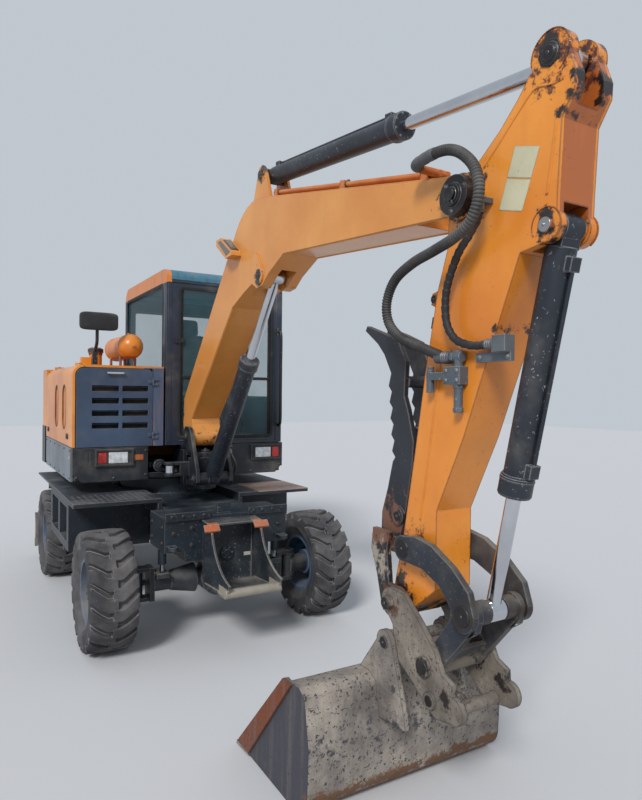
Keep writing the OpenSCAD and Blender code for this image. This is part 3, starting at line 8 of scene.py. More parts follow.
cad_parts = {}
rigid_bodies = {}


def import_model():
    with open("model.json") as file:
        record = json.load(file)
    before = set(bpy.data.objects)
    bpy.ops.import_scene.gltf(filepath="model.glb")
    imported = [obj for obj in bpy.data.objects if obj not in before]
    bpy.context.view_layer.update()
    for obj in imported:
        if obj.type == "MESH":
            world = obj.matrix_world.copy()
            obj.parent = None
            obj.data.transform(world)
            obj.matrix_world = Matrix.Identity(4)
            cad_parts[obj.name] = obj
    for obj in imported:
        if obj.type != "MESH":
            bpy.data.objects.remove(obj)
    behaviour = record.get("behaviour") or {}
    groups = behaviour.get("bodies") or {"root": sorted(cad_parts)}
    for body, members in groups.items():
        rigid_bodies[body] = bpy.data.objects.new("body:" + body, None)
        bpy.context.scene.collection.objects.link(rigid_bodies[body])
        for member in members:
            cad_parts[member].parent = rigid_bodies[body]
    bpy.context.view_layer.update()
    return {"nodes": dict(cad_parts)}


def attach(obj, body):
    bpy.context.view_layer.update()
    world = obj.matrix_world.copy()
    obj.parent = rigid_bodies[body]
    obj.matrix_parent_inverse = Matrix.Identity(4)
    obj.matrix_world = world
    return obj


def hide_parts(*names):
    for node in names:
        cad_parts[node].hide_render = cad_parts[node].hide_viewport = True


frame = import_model()

# Camera: the photograph's view, from the front right of the machine at eye height
# The lens and the turn were solved on the machine's own sizes
scene = bpy.context.scene
cam_data = bpy.data.cameras.new("camera")
cam_data.lens = 28.295
cam_data.sensor_width = 36.0
cam = bpy.data.objects.new("camera", cam_data)
scene.collection.objects.link(cam)
cam_yaw, cam_pitch, cam_roll = math.radians(-30.37), math.radians(-0.46), math.radians(0.65)
look = Vector((-math.sin(cam_yaw)*math.cos(cam_pitch), math.cos(cam_yaw)*math.cos(cam_pitch),
               math.sin(cam_pitch)))
level_right = Vector((math.cos(cam_yaw), math.sin(cam_yaw), 0))
level_up = level_right.cross(look)
right = level_right*math.cos(cam_roll) + level_up*math.sin(cam_roll)
up = level_up*math.cos(cam_roll) - level_right*math.sin(cam_roll)
cam_place = Matrix.Translation((-1.725, -5.731, 1.764))
cam.matrix_world = cam_place @ Matrix((right, up, -look)).transposed().to_4x4()
scene.camera = cam
scene.view_settings.view_transform = "Standard"

# Floor and light: a plain pale studio ground under a soft sky and one broad lamp
# The sky is a little cool, as in the photograph
bpy.ops.mesh.primitive_plane_add(size=60, location=(0, 0, 0))
floor = bpy.context.object
floor.name = "studio_floor"
floor_mat = bpy.data.materials.new("floor")
floor_mat.use_nodes = True
floor_shader = floor_mat.node_tree.nodes["Principled BSDF"]
floor_shader.inputs["Base Color"].default_value = (0.56, 0.56, 0.57, 1)
floor_shader.inputs["Roughness"].default_value = 0.9
floor.data.materials.append(floor_mat)
world = bpy.data.worlds.new("studio")
world.use_nodes = True
sky = world.node_tree.nodes["Background"]
sky.inputs["Color"].default_value = (0.80, 0.87, 0.95, 1)
sky.inputs["Strength"].default_value = 0.66
scene.world = world
key_data = bpy.data.lights.new("key", "SUN")
key_data.energy = 2.5
key_data.angle = math.radians(14)
key = bpy.data.objects.new("key", key_data)
key.rotation_euler = (math.radians(52), 0, math.radians(-46))
scene.collection.objects.link(key)


# Chassis frame: a welded box of thick plates that carries the axles and the tower
# Sprayed in one dark blue-grey coat, with road dust on its ledges, spots of rust and worn edges
def seen(r, g, b):
    """A colour as it looks on a screen, 0 to 255, for a shader's socket."""
    return tuple((c/255/12.92 if c <= 10 else ((c/255 + 0.055)/1.055)**2.4) for c in (r, g, b)) + (1.0,)


def add(tree, kind, wires=(), **settings):
    """A shader node with its settings, fed by constants, by sockets or by the first output of nodes."""
    made = tree.nodes.new("ShaderNode" + kind)
    for name, value in settings.items():
        setattr(made, name, value)
    for name, value in dict(wires).items():
        if isinstance(value, (bpy.types.Node, bpy.types.NodeSocket)):
            tree.links.new(value.outputs[0] if isinstance(value, bpy.types.Node) else value,
                           made.inputs[name])
        else:
            made.inputs[name].default_value = value
    return made


def effect(name, inputs, outputs):
    """An empty shader node group with float inputs, and its two ends."""
    group = bpy.data.node_groups.new(name, "ShaderNodeTree")
    for label, value in inputs:
        group.interface.new_socket(label, in_out="INPUT", socket_type="NodeSocketFloat").default_value = value
    for label, kind in outputs:
        group.interface.new_socket(label, in_out="OUTPUT", socket_type="NodeSocket" + kind)
    return group, group.nodes.new("NodeGroupInput").outputs, group.nodes.new("NodeGroupOutput").inputs


def edge_wear_effect():
    """Mask of the rubbed edges, broken up by noise, and a normal that rounds every sharp edge a little."""
    group, given, out = effect("edge wear", (("Width", 0.006), ("Break-up", 18.0), ("Amount", 0.5)),
                               (("Mask", "Float"), ("Normal", "Vector")))
    rounded = add(group, "Bevel", {"Radius": given["Width"]}, samples=4)
    surface = add(group, "NewGeometry")
    along = add(group, "VectorMath", {0: rounded.outputs["Normal"], 1: surface.outputs["Normal"]},
                operation="DOT_PRODUCT")
    bend = add(group, "Math", {0: 1.0, 1: along.outputs["Value"]}, operation="SUBTRACT")
    place = add(group, "TexCoord")
    noise = add(group, "TexNoise",
                {"Vector": place.outputs["Object"], "Scale": given["Break-up"], "Detail": 5.0,
                 "Roughness": 0.7})
    worn = add(group, "Math", {0: bend, 1: noise}, operation="MULTIPLY")
    gain = add(group, "Math", {0: worn, 1: given["Amount"]}, operation="MULTIPLY")
    mask = add(group, "MapRange", {"Value": gain, "From Min": 0.028, "From Max": 0.060},
               interpolation_type="SMOOTHSTEP")
    group.links.new(mask.outputs["Result"], out["Mask"])
    group.links.new(rounded.outputs["Normal"], out["Normal"])
    return group


def dust_effect():
    """Mask of dust: a thin veil all over, more on what faces up, and most near the ground."""
    group, given, out = effect("dust",
                               (("Scale", 3.0), ("All over", 0.2), ("On ledges", 0.3),
                                ("Near the ground", 0.3), ("Ground height", 0.9)), (("Mask", "Float"),))
    place = add(group, "TexCoord")
    broad = add(group, "TexNoise",
                {"Vector": place.outputs["Object"], "Scale": given["Scale"], "Detail": 8.0,
                 "Roughness": 0.62})
    facing = add(group, "SeparateXYZ", {0: place.outputs["Normal"]})
    ledge = add(group, "Math", {0: facing.outputs["Z"], 1: given["On ledges"]}, operation="MULTIPLY",
                use_clamp=True)
    height = add(group, "SeparateXYZ", {0: place.outputs["Object"]})
    low = add(group, "MapRange",
              {"Value": height.outputs["Z"], "From Min": given["Ground height"], "From Max": 0.0})
    splash = add(group, "Math", {0: low, 1: given["Near the ground"]}, operation="MULTIPLY")
    cover = add(group, "Math", {0: ledge, 1: splash}, operation="ADD")
    whole = add(group, "Math", {0: cover, 1: given["All over"]}, operation="ADD")
    total = add(group, "Math", {0: whole, 1: broad}, operation="ADD")
    mask = add(group, "MapRange", {"Value": total, "From Min": 0.62, "From Max": 1.15},
               interpolation_type="SMOOTHSTEP")
    group.links.new(mask.outputs["Result"], out["Mask"])
    return group


def spots_effect():
    """Mask of ragged spots, for rust, splashed mud and lost paint."""
    group, given, out = effect("spots", (("Scale", 6.0), ("Amount", 0.3)), (("Mask", "Float"),))
    place = add(group, "TexCoord")
    broad = add(group, "TexNoise",
                {"Vector": place.outputs["Object"], "Scale": given["Scale"], "Detail": 10.0,
                 "Roughness": 0.72, "Distortion": 0.6})
    level = add(group, "Math", {0: broad, 1: given["Amount"]}, operation="ADD")
    mask = add(group, "MapRange", {"Value": level, "From Min": 0.74, "From Max": 0.82},
               interpolation_type="SMOOTHSTEP")
    group.links.new(mask.outputs["Result"], out["Mask"])
    return group


def chips_effect():
    """Mask of small stone chips: cells of which only the smallest middles show."""
    group, given, out = effect("chips", (("Scale", 60.0), ("Amount", 0.3)), (("Mask", "Float"),))
    place = add(group, "TexCoord")
    ragged = add(group, "TexNoise", {"Vector": place.outputs["Object"], "Scale": 90.0, "Detail": 3.0})
    bent = add(group, "Mix", {"Factor": 0.04, 4: place.outputs["Object"], 5: ragged.outputs["Color"]},
               data_type="VECTOR")
    cells = add(group, "TexVoronoi", {"Vector": bent.outputs[1], "Scale": given["Scale"], "Randomness": 1.0})
    lot = add(group, "SeparateColor", {0: cells.outputs["Color"]})
    reach = add(group, "Math", {0: lot, 1: given["Amount"]}, operation="MULTIPLY")
    size = add(group, "Math", {0: reach, 1: 0.55}, operation="MULTIPLY")
    inside = add(group, "Math", {0: size, 1: cells.outputs["Distance"]}, operation="SUBTRACT")
    mask = add(group, "MapRange", {"Value": inside, "From Min": 0.0, "From Max": 0.05})
    group.links.new(mask.outputs["Result"], out["Mask"])
    return group


def streaks_effect():
    """Mask of runs down a wall, long in Z and fine across."""
    group, given, out = effect("streaks", (("Scale", 22.0), ("Amount", 0.4)), (("Mask", "Float"),))
    place = add(group, "TexCoord")
    drawn = add(group, "Mapping", {"Vector": place.outputs["Object"], "Scale": (1.0, 1.0, 0.06)})
    runs = add(group, "TexNoise", {"Vector": drawn, "Scale": given["Scale"], "Detail": 5.0, "Roughness": 0.6})
    level = add(group, "MapRange", {"Value": runs, "From Min": 0.5, "From Max": 0.72})
    mask = add(group, "Math", {0: level, 1: given["Amount"]}, operation="MULTIPLY", use_clamp=True)
    group.links.new(mask.outputs[0], out["Mask"])
    return group


def zone_effect():
    """Mask of the stretch between two places along an axis, with a ragged border."""
    group, given, out = effect("zone", (("Place", 0.0), ("From", 0.0), ("To", 1.0), ("Ragged", 0.01)),
                               (("Mask", "Float"),))
    place = add(group, "TexCoord")
    noise = add(group, "TexNoise", {"Vector": place.outputs["Object"], "Scale": 30.0, "Detail": 4.0})
    shift = add(group, "Math", {0: noise, 1: 0.5}, operation="SUBTRACT")
    span = add(group, "Math", {0: shift, 1: given["Ragged"]}, operation="MULTIPLY")
    moved = add(group, "Math", {0: given["Place"], 1: span}, operation="ADD")
    above = add(group, "Math", {0: moved, 1: given["From"]}, operation="GREATER_THAN")
    below = add(group, "Math", {0: moved, 1: given["To"]}, operation="LESS_THAN")
    mask = add(group, "Math", {0: above, 1: below}, operation="MULTIPLY")
    group.links.new(mask.outputs[0], out["Mask"])
    return group


def pin_stain_effect():
    """Mask of the ragged stain round a pin that lies along X."""
    group, given, out = effect("pin stain", (("Y", 0.0), ("Z", 0.0), ("Reach", 0.1)), (("Mask", "Float"),))
    place = add(group, "TexCoord")
    flat = add(group, "VectorMath", {0: place.outputs["Object"], 1: (0.0, 1.0, 1.0)}, operation="MULTIPLY")
    pin = add(group, "CombineXYZ", {"Y": given["Y"], "Z": given["Z"]})
    far = add(group, "VectorMath", {0: flat, 1: pin}, operation="DISTANCE")
    share = add(group, "Math", {0: far.outputs["Value"], 1: given["Reach"]}, operation="DIVIDE")
    noise = add(group, "TexNoise",
                {"Vector": place.outputs["Object"], "Scale": 16.0, "Detail": 8.0, "Roughness": 0.72})
    ragged = add(group, "Math", {0: noise, 1: 5.0}, operation="MULTIPLY")
    left = add(group, "Math", {0: ragged, 1: share}, operation="SUBTRACT")
    mask = add(group, "MapRange", {"Value": left, "From Min": 1.55, "From Max": 2.05},
               interpolation_type="SMOOTHSTEP")
    group.links.new(mask.outputs["Result"], out["Mask"])
    return group


EFFECTS = {"edge wear": edge_wear_effect(), "dust": dust_effect(), "spots": spots_effect(),
           "chips": chips_effect(), "streaks": streaks_effect(), "zone": zone_effect(),
           "pin stain": pin_stain_effect()}
RUST, DUST, BARE = (112, 62, 34), (134, 128, 118), (122, 120, 116)


def finish(name, colour, deep, bare=BARE, dust=DUST, rust=RUST, dusty=(0.1, 0.15, 0.1, 0.9), wear=0.45,
           wear_width=0.006, rusty=0.0, rust_scale=7.0, chipped=0.2, streaky=0.2, rough=0.45, metal=0.0,
           grain=(220.0, 0.06), mottle=2.5, zones=(), coat=0.0, stains=(), depth=0.0006):
    """A worn finish: two shades, runs, zones, worn edges, chips, rust and dust in layers, with their bump.
    dusty holds all over and on ledges, and low down also near the ground and the height that this reaches.
    A zone is (colour, ((axis, from, to), ...)), a stain (a pin's forward distance, height, reach, colour).
    depth is the height of the grain in metres."""
    all_over, on_ledges, near_ground, ground_height = (*dusty, 0.0, 0.9)[:4]
    material = bpy.data.materials.new(name)
    material.use_nodes = True
    tree = material.node_tree
    shader = tree.nodes["Principled BSDF"]

    def use(label, **wires):
        made = tree.nodes.new("ShaderNodeGroup")
        made.node_tree = EFFECTS[label]
        for key, value in wires.items():
            socket = made.inputs[key.replace("_", " ")]
            if isinstance(value, bpy.types.NodeSocket):
                tree.links.new(value, socket)
            else:
                socket.default_value = value
        return made.outputs

    def over(mask, below, above):
        below, above = (tone if isinstance(tone, bpy.types.NodeSocket) else seen(*tone)
                        for tone in (below, above))
        return add(tree, "Mix", {"Factor": mask, 6: below, 7: above}, data_type="RGBA").outputs[2]

    place = add(tree, "TexCoord")
    axes = add(tree, "SeparateXYZ", {0: place.outputs["Object"]})
    patches = add(tree, "TexNoise",
                  {"Vector": place.outputs["Object"], "Scale": mottle, "Detail": 6.0, "Roughness": 0.6})
    fade = add(tree, "MapRange", {"Value": patches, "From Min": 0.35, "From Max": 0.68})
    shade = over(fade.outputs["Result"], deep, colour)
    for tone, limits in zones:
        mask = None
        for axis, low, high in limits:
            part = use("zone", Place=axes.outputs[axis], From=low, To=high,
                       Ragged=0.0 if high - low < 0.02 else 0.01)["Mask"]
            mask = part if mask is None else add(tree, "Math", {0: mask, 1: part},
                                                 operation="MULTIPLY").outputs[0]
        shade = over(mask, shade, tone)
    runs = use("streaks", Amount=streaky)["Mask"]
    shade = over(runs, shade, deep)
    edge = use("edge wear", Width=wear_width, Amount=wear)
    chips = use("chips", Amount=chipped)["Mask"]
    lost = add(tree, "Math", {0: edge["Mask"], 1: chips}, operation="MAXIMUM").outputs[0]
    shade = over(lost, shade, bare)
    rust_spots = use("spots", Scale=rust_scale, Amount=rusty)["Mask"]
    shade = over(rust_spots, shade, rust)
    for forward, high, reach, tone in stains:
        shade = over(use("pin stain", Y=-forward, Z=high, Reach=reach)["Mask"], shade, tone)
    veil = use("dust", All_over=all_over, On_ledges=on_ledges, Near_the_ground=near_ground,
               Ground_height=ground_height)["Mask"]
    shade = over(veil, shade, dust)
    tree.links.new(shade, shader.inputs["Base Color"])
    fine = add(tree, "TexNoise", {"Vector": place.outputs["Object"], "Scale": grain[0], "Detail": 3.0})
    dull = add(tree, "MapRange", {"Value": fine, "To Min": rough - 0.06, "To Max": rough + 0.08})
    matt = add(tree, "Math", {0: veil, 1: rust_spots}, operation="MAXIMUM")
    gloss = add(tree, "Mix", {0: matt, 2: dull, 3: 0.88}, data_type="FLOAT")
    tree.links.new(gloss.outputs[0], shader.inputs["Roughness"])
    if metal:
        metallic = add(tree, "MapRange", {"Value": matt, "To Min": metal, "To Max": 0.0})
        tree.links.new(metallic.outputs["Result"], shader.inputs["Metallic"])
    raised = add(tree, "Math", {0: rust_spots, 1: 0.6}, operation="MULTIPLY")
    film = add(tree, "Math", {0: veil, 1: 0.4}, operation="MULTIPLY")
    crust = add(tree, "Math", {0: raised, 1: film}, operation="ADD")
    carved = add(tree, "Math", {0: crust, 1: lost}, operation="SUBTRACT")
    coarse = add(tree, "Bump",
                 {"Strength": 0.35, "Distance": 0.0012, "Height": carved, "Normal": edge["Normal"]})
    skin = add(tree, "Bump", {"Strength": grain[1]*4, "Distance": depth, "Height": fine, "Normal": coarse})
    tree.links.new(skin.outputs[0], shader.inputs["Normal"])
    shader.inputs["Coat Weight"].default_value = coat
    return material


def dress(material, *nodes):
    """Gives a material to the whole of each named part."""
    for name in nodes:
        part = frame["nodes"][name]
        for holder in [part, *part.children_recursive]:
            if holder.type == "MESH":
                if not holder.material_slots:
                    holder.data.materials.append(material)
                for entry in holder.material_slots:
                    entry.material = material


chassis_paint = finish("chassis_paint", (32, 43, 53), (20, 29, 37), dust=(96, 100, 102), wear=0.5, rusty=0.03,
                       chipped=0.42, dusty=(0.08, 0.18, 0.12, 0.8))
dress(chassis_paint, "frame", "slew_tower")


def add_round(mesh, start, end, radius, end_radius=None, sides=24):
    """A closed round bar or cone from start to end."""
    start, end = Vector(start), Vector(end)
    turn = (end - start).to_track_quat("Z", "Y").to_matrix().to_4x4()
    bmesh.ops.create_cone(mesh, cap_ends=True, segments=sides, radius1=radius, depth=(end - start).length,
                          radius2=radius if end_radius is None else end_radius,
                          matrix=Matrix.Translation((start + end)/2) @ turn)


def add_block(mesh, low, high, turn=Matrix.Identity(4)):
    """A closed block between two corners, turned about its middle."""
    low, high = Vector(low), Vector(high)
    scaled = Matrix.Diagonal((*(high - low), 1.0))
    bmesh.ops.create_cube(mesh, size=1.0, matrix=Matrix.Translation((low + high)/2) @ turn @ scaled)


def add_bolt(mesh, face, axis, radius=0.011):
    """A washer and a hexagon head on a face."""
    face, axis = Vector(face), Vector(axis).normalized()
    add_round(mesh, face - axis*0.002, face + axis*0.0025, radius*1.55, sides=20)
    add_round(mesh, face, face + axis*radius*1.1, radius, sides=6)


def arc(radius, first, step, count):
    """Places on a circle as pairs of distances, one every step degrees from the first."""
    angles = [math.radians(i*step + first) for i in range(count)]
    return [(radius*math.cos(a), radius*math.sin(a)) for a in angles]


def make(name, body, mesh, material, bevel=0.0015, smooth=35):
    """Turns the gathered mesh into a piece on its body, with small rounded edges."""
    bmesh.ops.recalc_face_normals(mesh, faces=mesh.faces)
    data = bpy.data.meshes.new(name)
    mesh.to_mesh(data)
    mesh.free()
    data.shade_smooth()
    data.set_sharp_from_angle(angle=math.radians(smooth))
    data.materials.append(material)
    piece = bpy.data.objects.new(name, data)
    scene.collection.objects.link(piece)
    if bevel:
        rounding = piece.modifiers.new("edges", "BEVEL")
        rounding.width, rounding.segments, rounding.limit_method = bevel, 2, "ANGLE"
        rounding.angle_limit = math.radians(40)
    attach(piece, body)
    return piece


nose_front, nose_side, frame_top = -1.480, 0.465, 0.880
bolts = bmesh.new()
for s in (-1, 1):
    for x in (0.19, 0.26, 0.34, 0.42):
        add_bolt(bolts, (s*x, nose_front - 0.022, frame_top + 0.030), (0, -1, 0), 0.009)
    for x, z in ((0.27, 0.70), (0.27, 0.82), (0.40, 0.79)):
        add_bolt(bolts, (s*x, nose_front, z), (0, -1, 0), 0.012)
    for y, z in ((-1.42, 0.72), (-1.42, 0.83), (-1.17, 0.72), (-1.17, 0.83)):
        add_bolt(bolts, (s*nose_side, y, z), (s, 0, 0), 0.012)
tower_flange_r, tower_flange_z = 0.452, frame_top + 0.0303
for x, y in arc(tower_flange_r, 4, 12, 30):
    add_bolt(bolts, (x, y, tower_flange_z), (0, 0, 1), 0.009)
worn_bolt = finish("bolt_steel", (62, 61, 62), (40, 39, 40), bare=(112, 110, 108), wear=0.4, rusty=0.08,
                   rust_scale=30, dusty=(0.05, 0.1, 0.05, 0.9), metal=0.4)
make("chassis_bolts", "chassis", bolts, worn_bolt, bevel=0.001)

# Bucket rest: two plates with a lip in front of the frame, welded to a back plate
# Pale where the bucket rubs it, its upper tips touched up in the body's orange
rest_paint = finish("rest_paint", (46, 54, 62), (30, 36, 43), bare=(166, 158, 146), wear=0.8,
                    wear_width=0.010, rusty=0.05, chipped=0.45, dusty=(0.12, 0.2, 0.14, 0.8),
                    zones=(((150, 142, 128), (("Y", -1.99, -1.80), ("Z", 0.40, 0.50))),
                           ((176, 92, 50), (("X", 0.13, 0.24), ("Y", -1.70, -1.585), ("Z", 0.80, 0.90))),
                           ((176, 92, 50), (("X", -0.24, -0.13), ("Y", -1.70, -1.585), ("Z", 0.80, 0.90)))))
dress(rest_paint, "bucket_rest")
flange = bmesh.new()
flange_at = Vector((-0.015, nose_front - 0.0145, 0.622))
add_round(flange, flange_at + Vector((0, 0.006, 0)), flange_at - Vector((0, 0.012, 0)), 0.052, sides=40)
add_round(flange, flange_at, flange_at - Vector((0, 0.020, 0)), 0.026, sides=32)
for x, z in arc(0.039, 0, 60, 6):
    add_bolt(flange, flange_at + Vector((x, -0.012, z)), (0, -1, 0), 0.0055)
make("rest_flange", "chassis", flange, chassis_paint)
tag = bmesh.new()
add_block(tag, (0.118, nose_front - 0.0165, 0.585), (0.172, nose_front - 0.0135, 0.612))
pale_plate = finish("pale_plate", (196, 194, 184), (168, 166, 156), wear=0.3, rusty=0.02, chipped=0.25,
                    dusty=(0.12, 0.1, 0.1, 0.9))
make("rest_tag", "chassis", tag, pale_plate, bevel=0.0008)

# Side boxes: boxes of folded sheet under the two step plates, with an opening to step into
# The step plates carry raised diamonds, worn pale by boots
box_paint = finish("box_paint", (44, 51, 60), (28, 33, 40), bare=(150, 142, 134), dust=(104, 106, 108),
                   wear=0.6, wear_width=0.008, rusty=0.02, chipped=0.35, dusty=(0.08, 0.24, 0.10, 0.9),
                   zones=(((166, 134, 118), (("X", 0.50, 0.98), ("Y", -0.93, -0.42), ("Z", 0.944, 0.96))),))
dress(box_paint, "side_boxes")
step_top, step_inner, step_outer, step_front, tower_clear = 0.950, 0.345, 0.955, -0.905, 0.51
diamonds = bmesh.new()
for s in (-1, 1):
    for row in range(9):
        for col in range(13):
            x = s*(step_inner + 0.05 + col*0.044)
            y = step_front + 0.03 + row*0.040
            if math.hypot(x, y) < tower_clear or abs(x) > step_outer - 0.01:
                continue
            turn = Matrix.Rotation(math.radians(45 if (row + col) % 2 else -45), 4, "Z")
            bmesh.ops.create_cone(diamonds, cap_ends=True, segments=4, radius1=1.0, radius2=0.45, depth=1.0,
                                  matrix=Matrix.Translation((x, y, step_top + 0.0008)) @ turn
                                  @ Matrix.Diagonal((0.017, 0.006, 0.0022, 1.0)))
make("step_diamonds", "chassis", diamonds, box_paint, bevel=0)

# Axles: cast drive heads and tubes, the front one with lock rams whose rods show bright
# Rings of bolts close the drive heads, and capped kingpins carry the knuckles
axle_paint = finish("axle_paint", (44, 52, 62), (26, 31, 38), bare=(140, 136, 128), dust=(112, 110, 106),
                    wear=0.7, wear_width=0.010, rusty=0.03, chipped=0.35, dusty=(0.13, 0.20, 0.12, 0.8),
                    grain=(120.0, 0.16))
dress(axle_paint, "front_axle", "rear_axle", "knuckle_left", "knuckle_right", "tie_rod")
axle_z, front_y, rear_y, kingpin_x = 0.408, -1.250, 0.855, 0.606
heads = bmesh.new()
for y, face, radius in ((front_y, -0.075, 0.123), (rear_y, 0.080, 0.128)):
    for x, z in arc(radius, 15, 30, 12):
        add_bolt(heads, (x, y + face, axle_z + z), (0, face, 0), 0.008)
    add_bolt(heads, (0, y + face, axle_z - 0.06), (0, face, 0), 0.014)
make("axle_bolts", "chassis", heads, worn_bolt, bevel=0.001)
rods = bmesh.new()
for s in (-1, 1):
    add_round(rods, (s*0.44, front_y - 0.09, axle_z + 0.098), (s*0.44, front_y - 0.09, axle_z + 0.147),
              0.0176, sides=28)
bright_steel = finish("bright_steel", (196, 198, 202), (168, 170, 174), bare=(210, 210, 212), wear=0.1,
                      rusty=0.0, chipped=0.03, streaky=0.35, dusty=(0.02, 0.05), rough=0.16, metal=1.0,
                      grain=(60.0, 0.01))
make("lock_ram_rods", "chassis", rods, bright_steel, bevel=0)
for s, body in ((1, "knuckle_left"), (-1, "knuckle_right")):
    caps = bmesh.new()
    for t in (-1, 1):
        end = axle_z + t*0.120
        add_round(caps, (s*kingpin_x, front_y, end - t*0.002), (s*kingpin_x, front_y, end + t*0.008), 0.019,
                  sides=24)
        add_round(caps, (s*kingpin_x, front_y, end), (s*kingpin_x, front_y, end + t*0.018), 0.005, 0.003,
                  sides=10)
    make(body + "_caps", body, caps, worn_bolt, bevel=0.001)

# Tyres: black rubber with two rows of dog-leg lugs that meet in the middle
# Grey with road dust, the tops of the lugs polished by the road
tyre_black = finish("tyre_rubber", (58, 58, 61), (40, 40, 43), bare=(132, 130, 132), dust=(118, 114, 112),
                    wear=0.75, wear_width=0.010, rusty=-0.1, chipped=0.30, streaky=0.0, rough=0.82,
                    grain=(90.0, 0.24), mottle=7.0, dusty=(0.26, 0.05))
tread_base, bead, lug_count = 0.377, 0.2105, 19
wall = [(0.1125, bead), (0.119, 0.222), (0.124, 0.236), (0.139, 0.258), (0.1475, 0.280), (0.1512, 0.283),
        (0.1512, 0.288), (0.1500, 0.291), (0.1515, 0.315), (0.1500, 0.338), (0.1512, 0.341), (0.1505, 0.346),
        (0.1440, 0.358), (0.130, 0.370), (0.090, 0.3765), (0.0, tread_base)]
carcass_profile = wall + [(-x, r) for x, r in reversed(wall[:-1])]
lug_stations = [((-0.014, 0.408), (-0.014, 0.362), 0.0), ((0.046, 0.408), (0.046, 0.362), 0.0),
                ((0.092, 0.4065), (0.092, 0.362), 5.0), ((0.132, 0.402), (0.126, 0.355), 9.5),
                ((0.1505, 0.390), (0.130, 0.350), 11.0), ((0.1522, 0.352), (0.140, 0.338), 12.0)]
lug_half, root_half = 0.041, 0.047


def add_tyre(mesh, centre):
    """Carcass turned about X, and its two rows of lugs as joined blocks."""
    segments = 96
    rings = []
    for i in range(segments):
        a = 2*math.pi*i/segments
        rings.append([mesh.verts.new(centre + Vector((x, -r*math.cos(a), r*math.sin(a))))
                      for x, r in carcass_profile])
    count = len(carcass_profile)
    for i in range(segments):
        here, there = rings[i], rings[(i + 1) % segments]
        for j in range(count):
            mesh.faces.new((here[j], here[(j + 1) % count], there[(j + 1) % count], there[j]))
    for s in (-1, 1):
        for i in range(lug_count):
            start = 360/lug_count*(i + (0.5 if s > 0 else 0.0))
            rows = []
            for (x_top, r_top), (x_low, r_low), lead in lug_stations:
                row = []
                for x, r, half in ((x_top, r_top, -lug_half), (x_top, r_top, lug_half),
                                   (x_low, r_low, root_half), (x_low, r_low, -root_half)):
                    a = math.radians(start + lead) + half/r
                    row.append(mesh.verts.new(centre + Vector((s*x, -r*math.cos(a), r*math.sin(a)))))
                rows.append(row)
            for here, there in zip(rows, rows[1:]):
                for j in range(4):
                    mesh.faces.new((here[j], here[(j + 1) % 4], there[(j + 1) % 4], there[j]))
            mesh.faces.new(rows[0])
            mesh.faces.new(rows[-1])


# Rims: pressed steel in chalky slate blue, with eight nuts, a hub cover and a valve each
# Dull with dust, and rusted in spots
rim_paint = finish("rim_paint", (56, 92, 128), (36, 62, 92), bare=(150, 148, 144), wear=0.65, rusty=0.10,
                   rust_scale=16, chipped=0.35, dusty=(0.24, 0.18), rough=0.6)
dress(rim_paint, "rim_front_left", "rim_front_right", "rim_rear_left", "rim_rear_right")
wheel_x, disc_x, hub_x, nut_circle = 0.8185, 0.030, 0.090, 0.122
for label, s, y in (("front_left", 1, front_y), ("front_right", -1, front_y), ("rear_left", 1, rear_y),
                    ("rear_right", -1, rear_y)):
    centre = Vector((s*wheel_x, y, axle_z))
    rubber = bmesh.new()
    add_tyre(rubber, centre)
    tyre = make("tyre_" + label + "_rubber", "wheel_" + label, rubber, tyre_black, bevel=0.0035,
                smooth=40)
    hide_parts("tyre_" + label)
    nuts = bmesh.new()
    out = Vector((s, 0, 0))
    for y, z in arc(nut_circle, 0, 45, 8):
        spot = centre + out*disc_x + Vector((0, y, z))
        add_round(nuts, spot - out*0.002, spot + out*0.006, 0.021, sides=24)
        add_round(nuts, spot, spot + out*0.024, 0.0155, sides=6)
        add_round(nuts, spot, spot + out*0.034, 0.009, sides=16)
    hub = centre + out*hub_x
    add_round(nuts, hub - out*0.002, hub + out*0.010, 0.070, 0.064, sides=40)
    for y, z in arc(0.048, 30, 60, 6):
        add_bolt(nuts, hub + out*0.010 + Vector((0, y, z)), out, 0.007)
    valve = centre + out*(disc_x + 0.010) + Vector((0, 0.165, 0.055))
    add_round(nuts, valve, valve + out*0.030, 0.005, sides=12)
    make("hub_" + label, "wheel_" + label, nuts, worn_bolt, bevel=0.001)

# Dozer blade: a rolled sheet on two arms, with a bolted cutting edge ground bright by the road
# Its pins sit in lugs at the back of the frame
blade_paint = finish("blade_paint", (42, 50, 60), (28, 34, 42), bare=(150, 144, 136), wear=0.8,
                     wear_width=0.012, rusty=0.09, chipped=0.5, dusty=(0.2, 0.1, 0.42, 0.5),
                     zones=(((128, 120, 110), (("Z", 0.05, 0.19),)),))
dress(blade_paint, "blade")
edge_bolts = bmesh.new()
cutting_face_y, cutting_bolt_z = 1.686, 0.140
for i in range(11):
    x = -0.88 + i*0.176
    add_round(edge_bolts, (x, cutting_face_y - 0.001, cutting_bolt_z),
              (x, cutting_face_y + 0.004, cutting_bolt_z), 0.016, 0.012, sides=20)
make("blade_bolts", "blade", edge_bolts, worn_bolt, bevel=0)

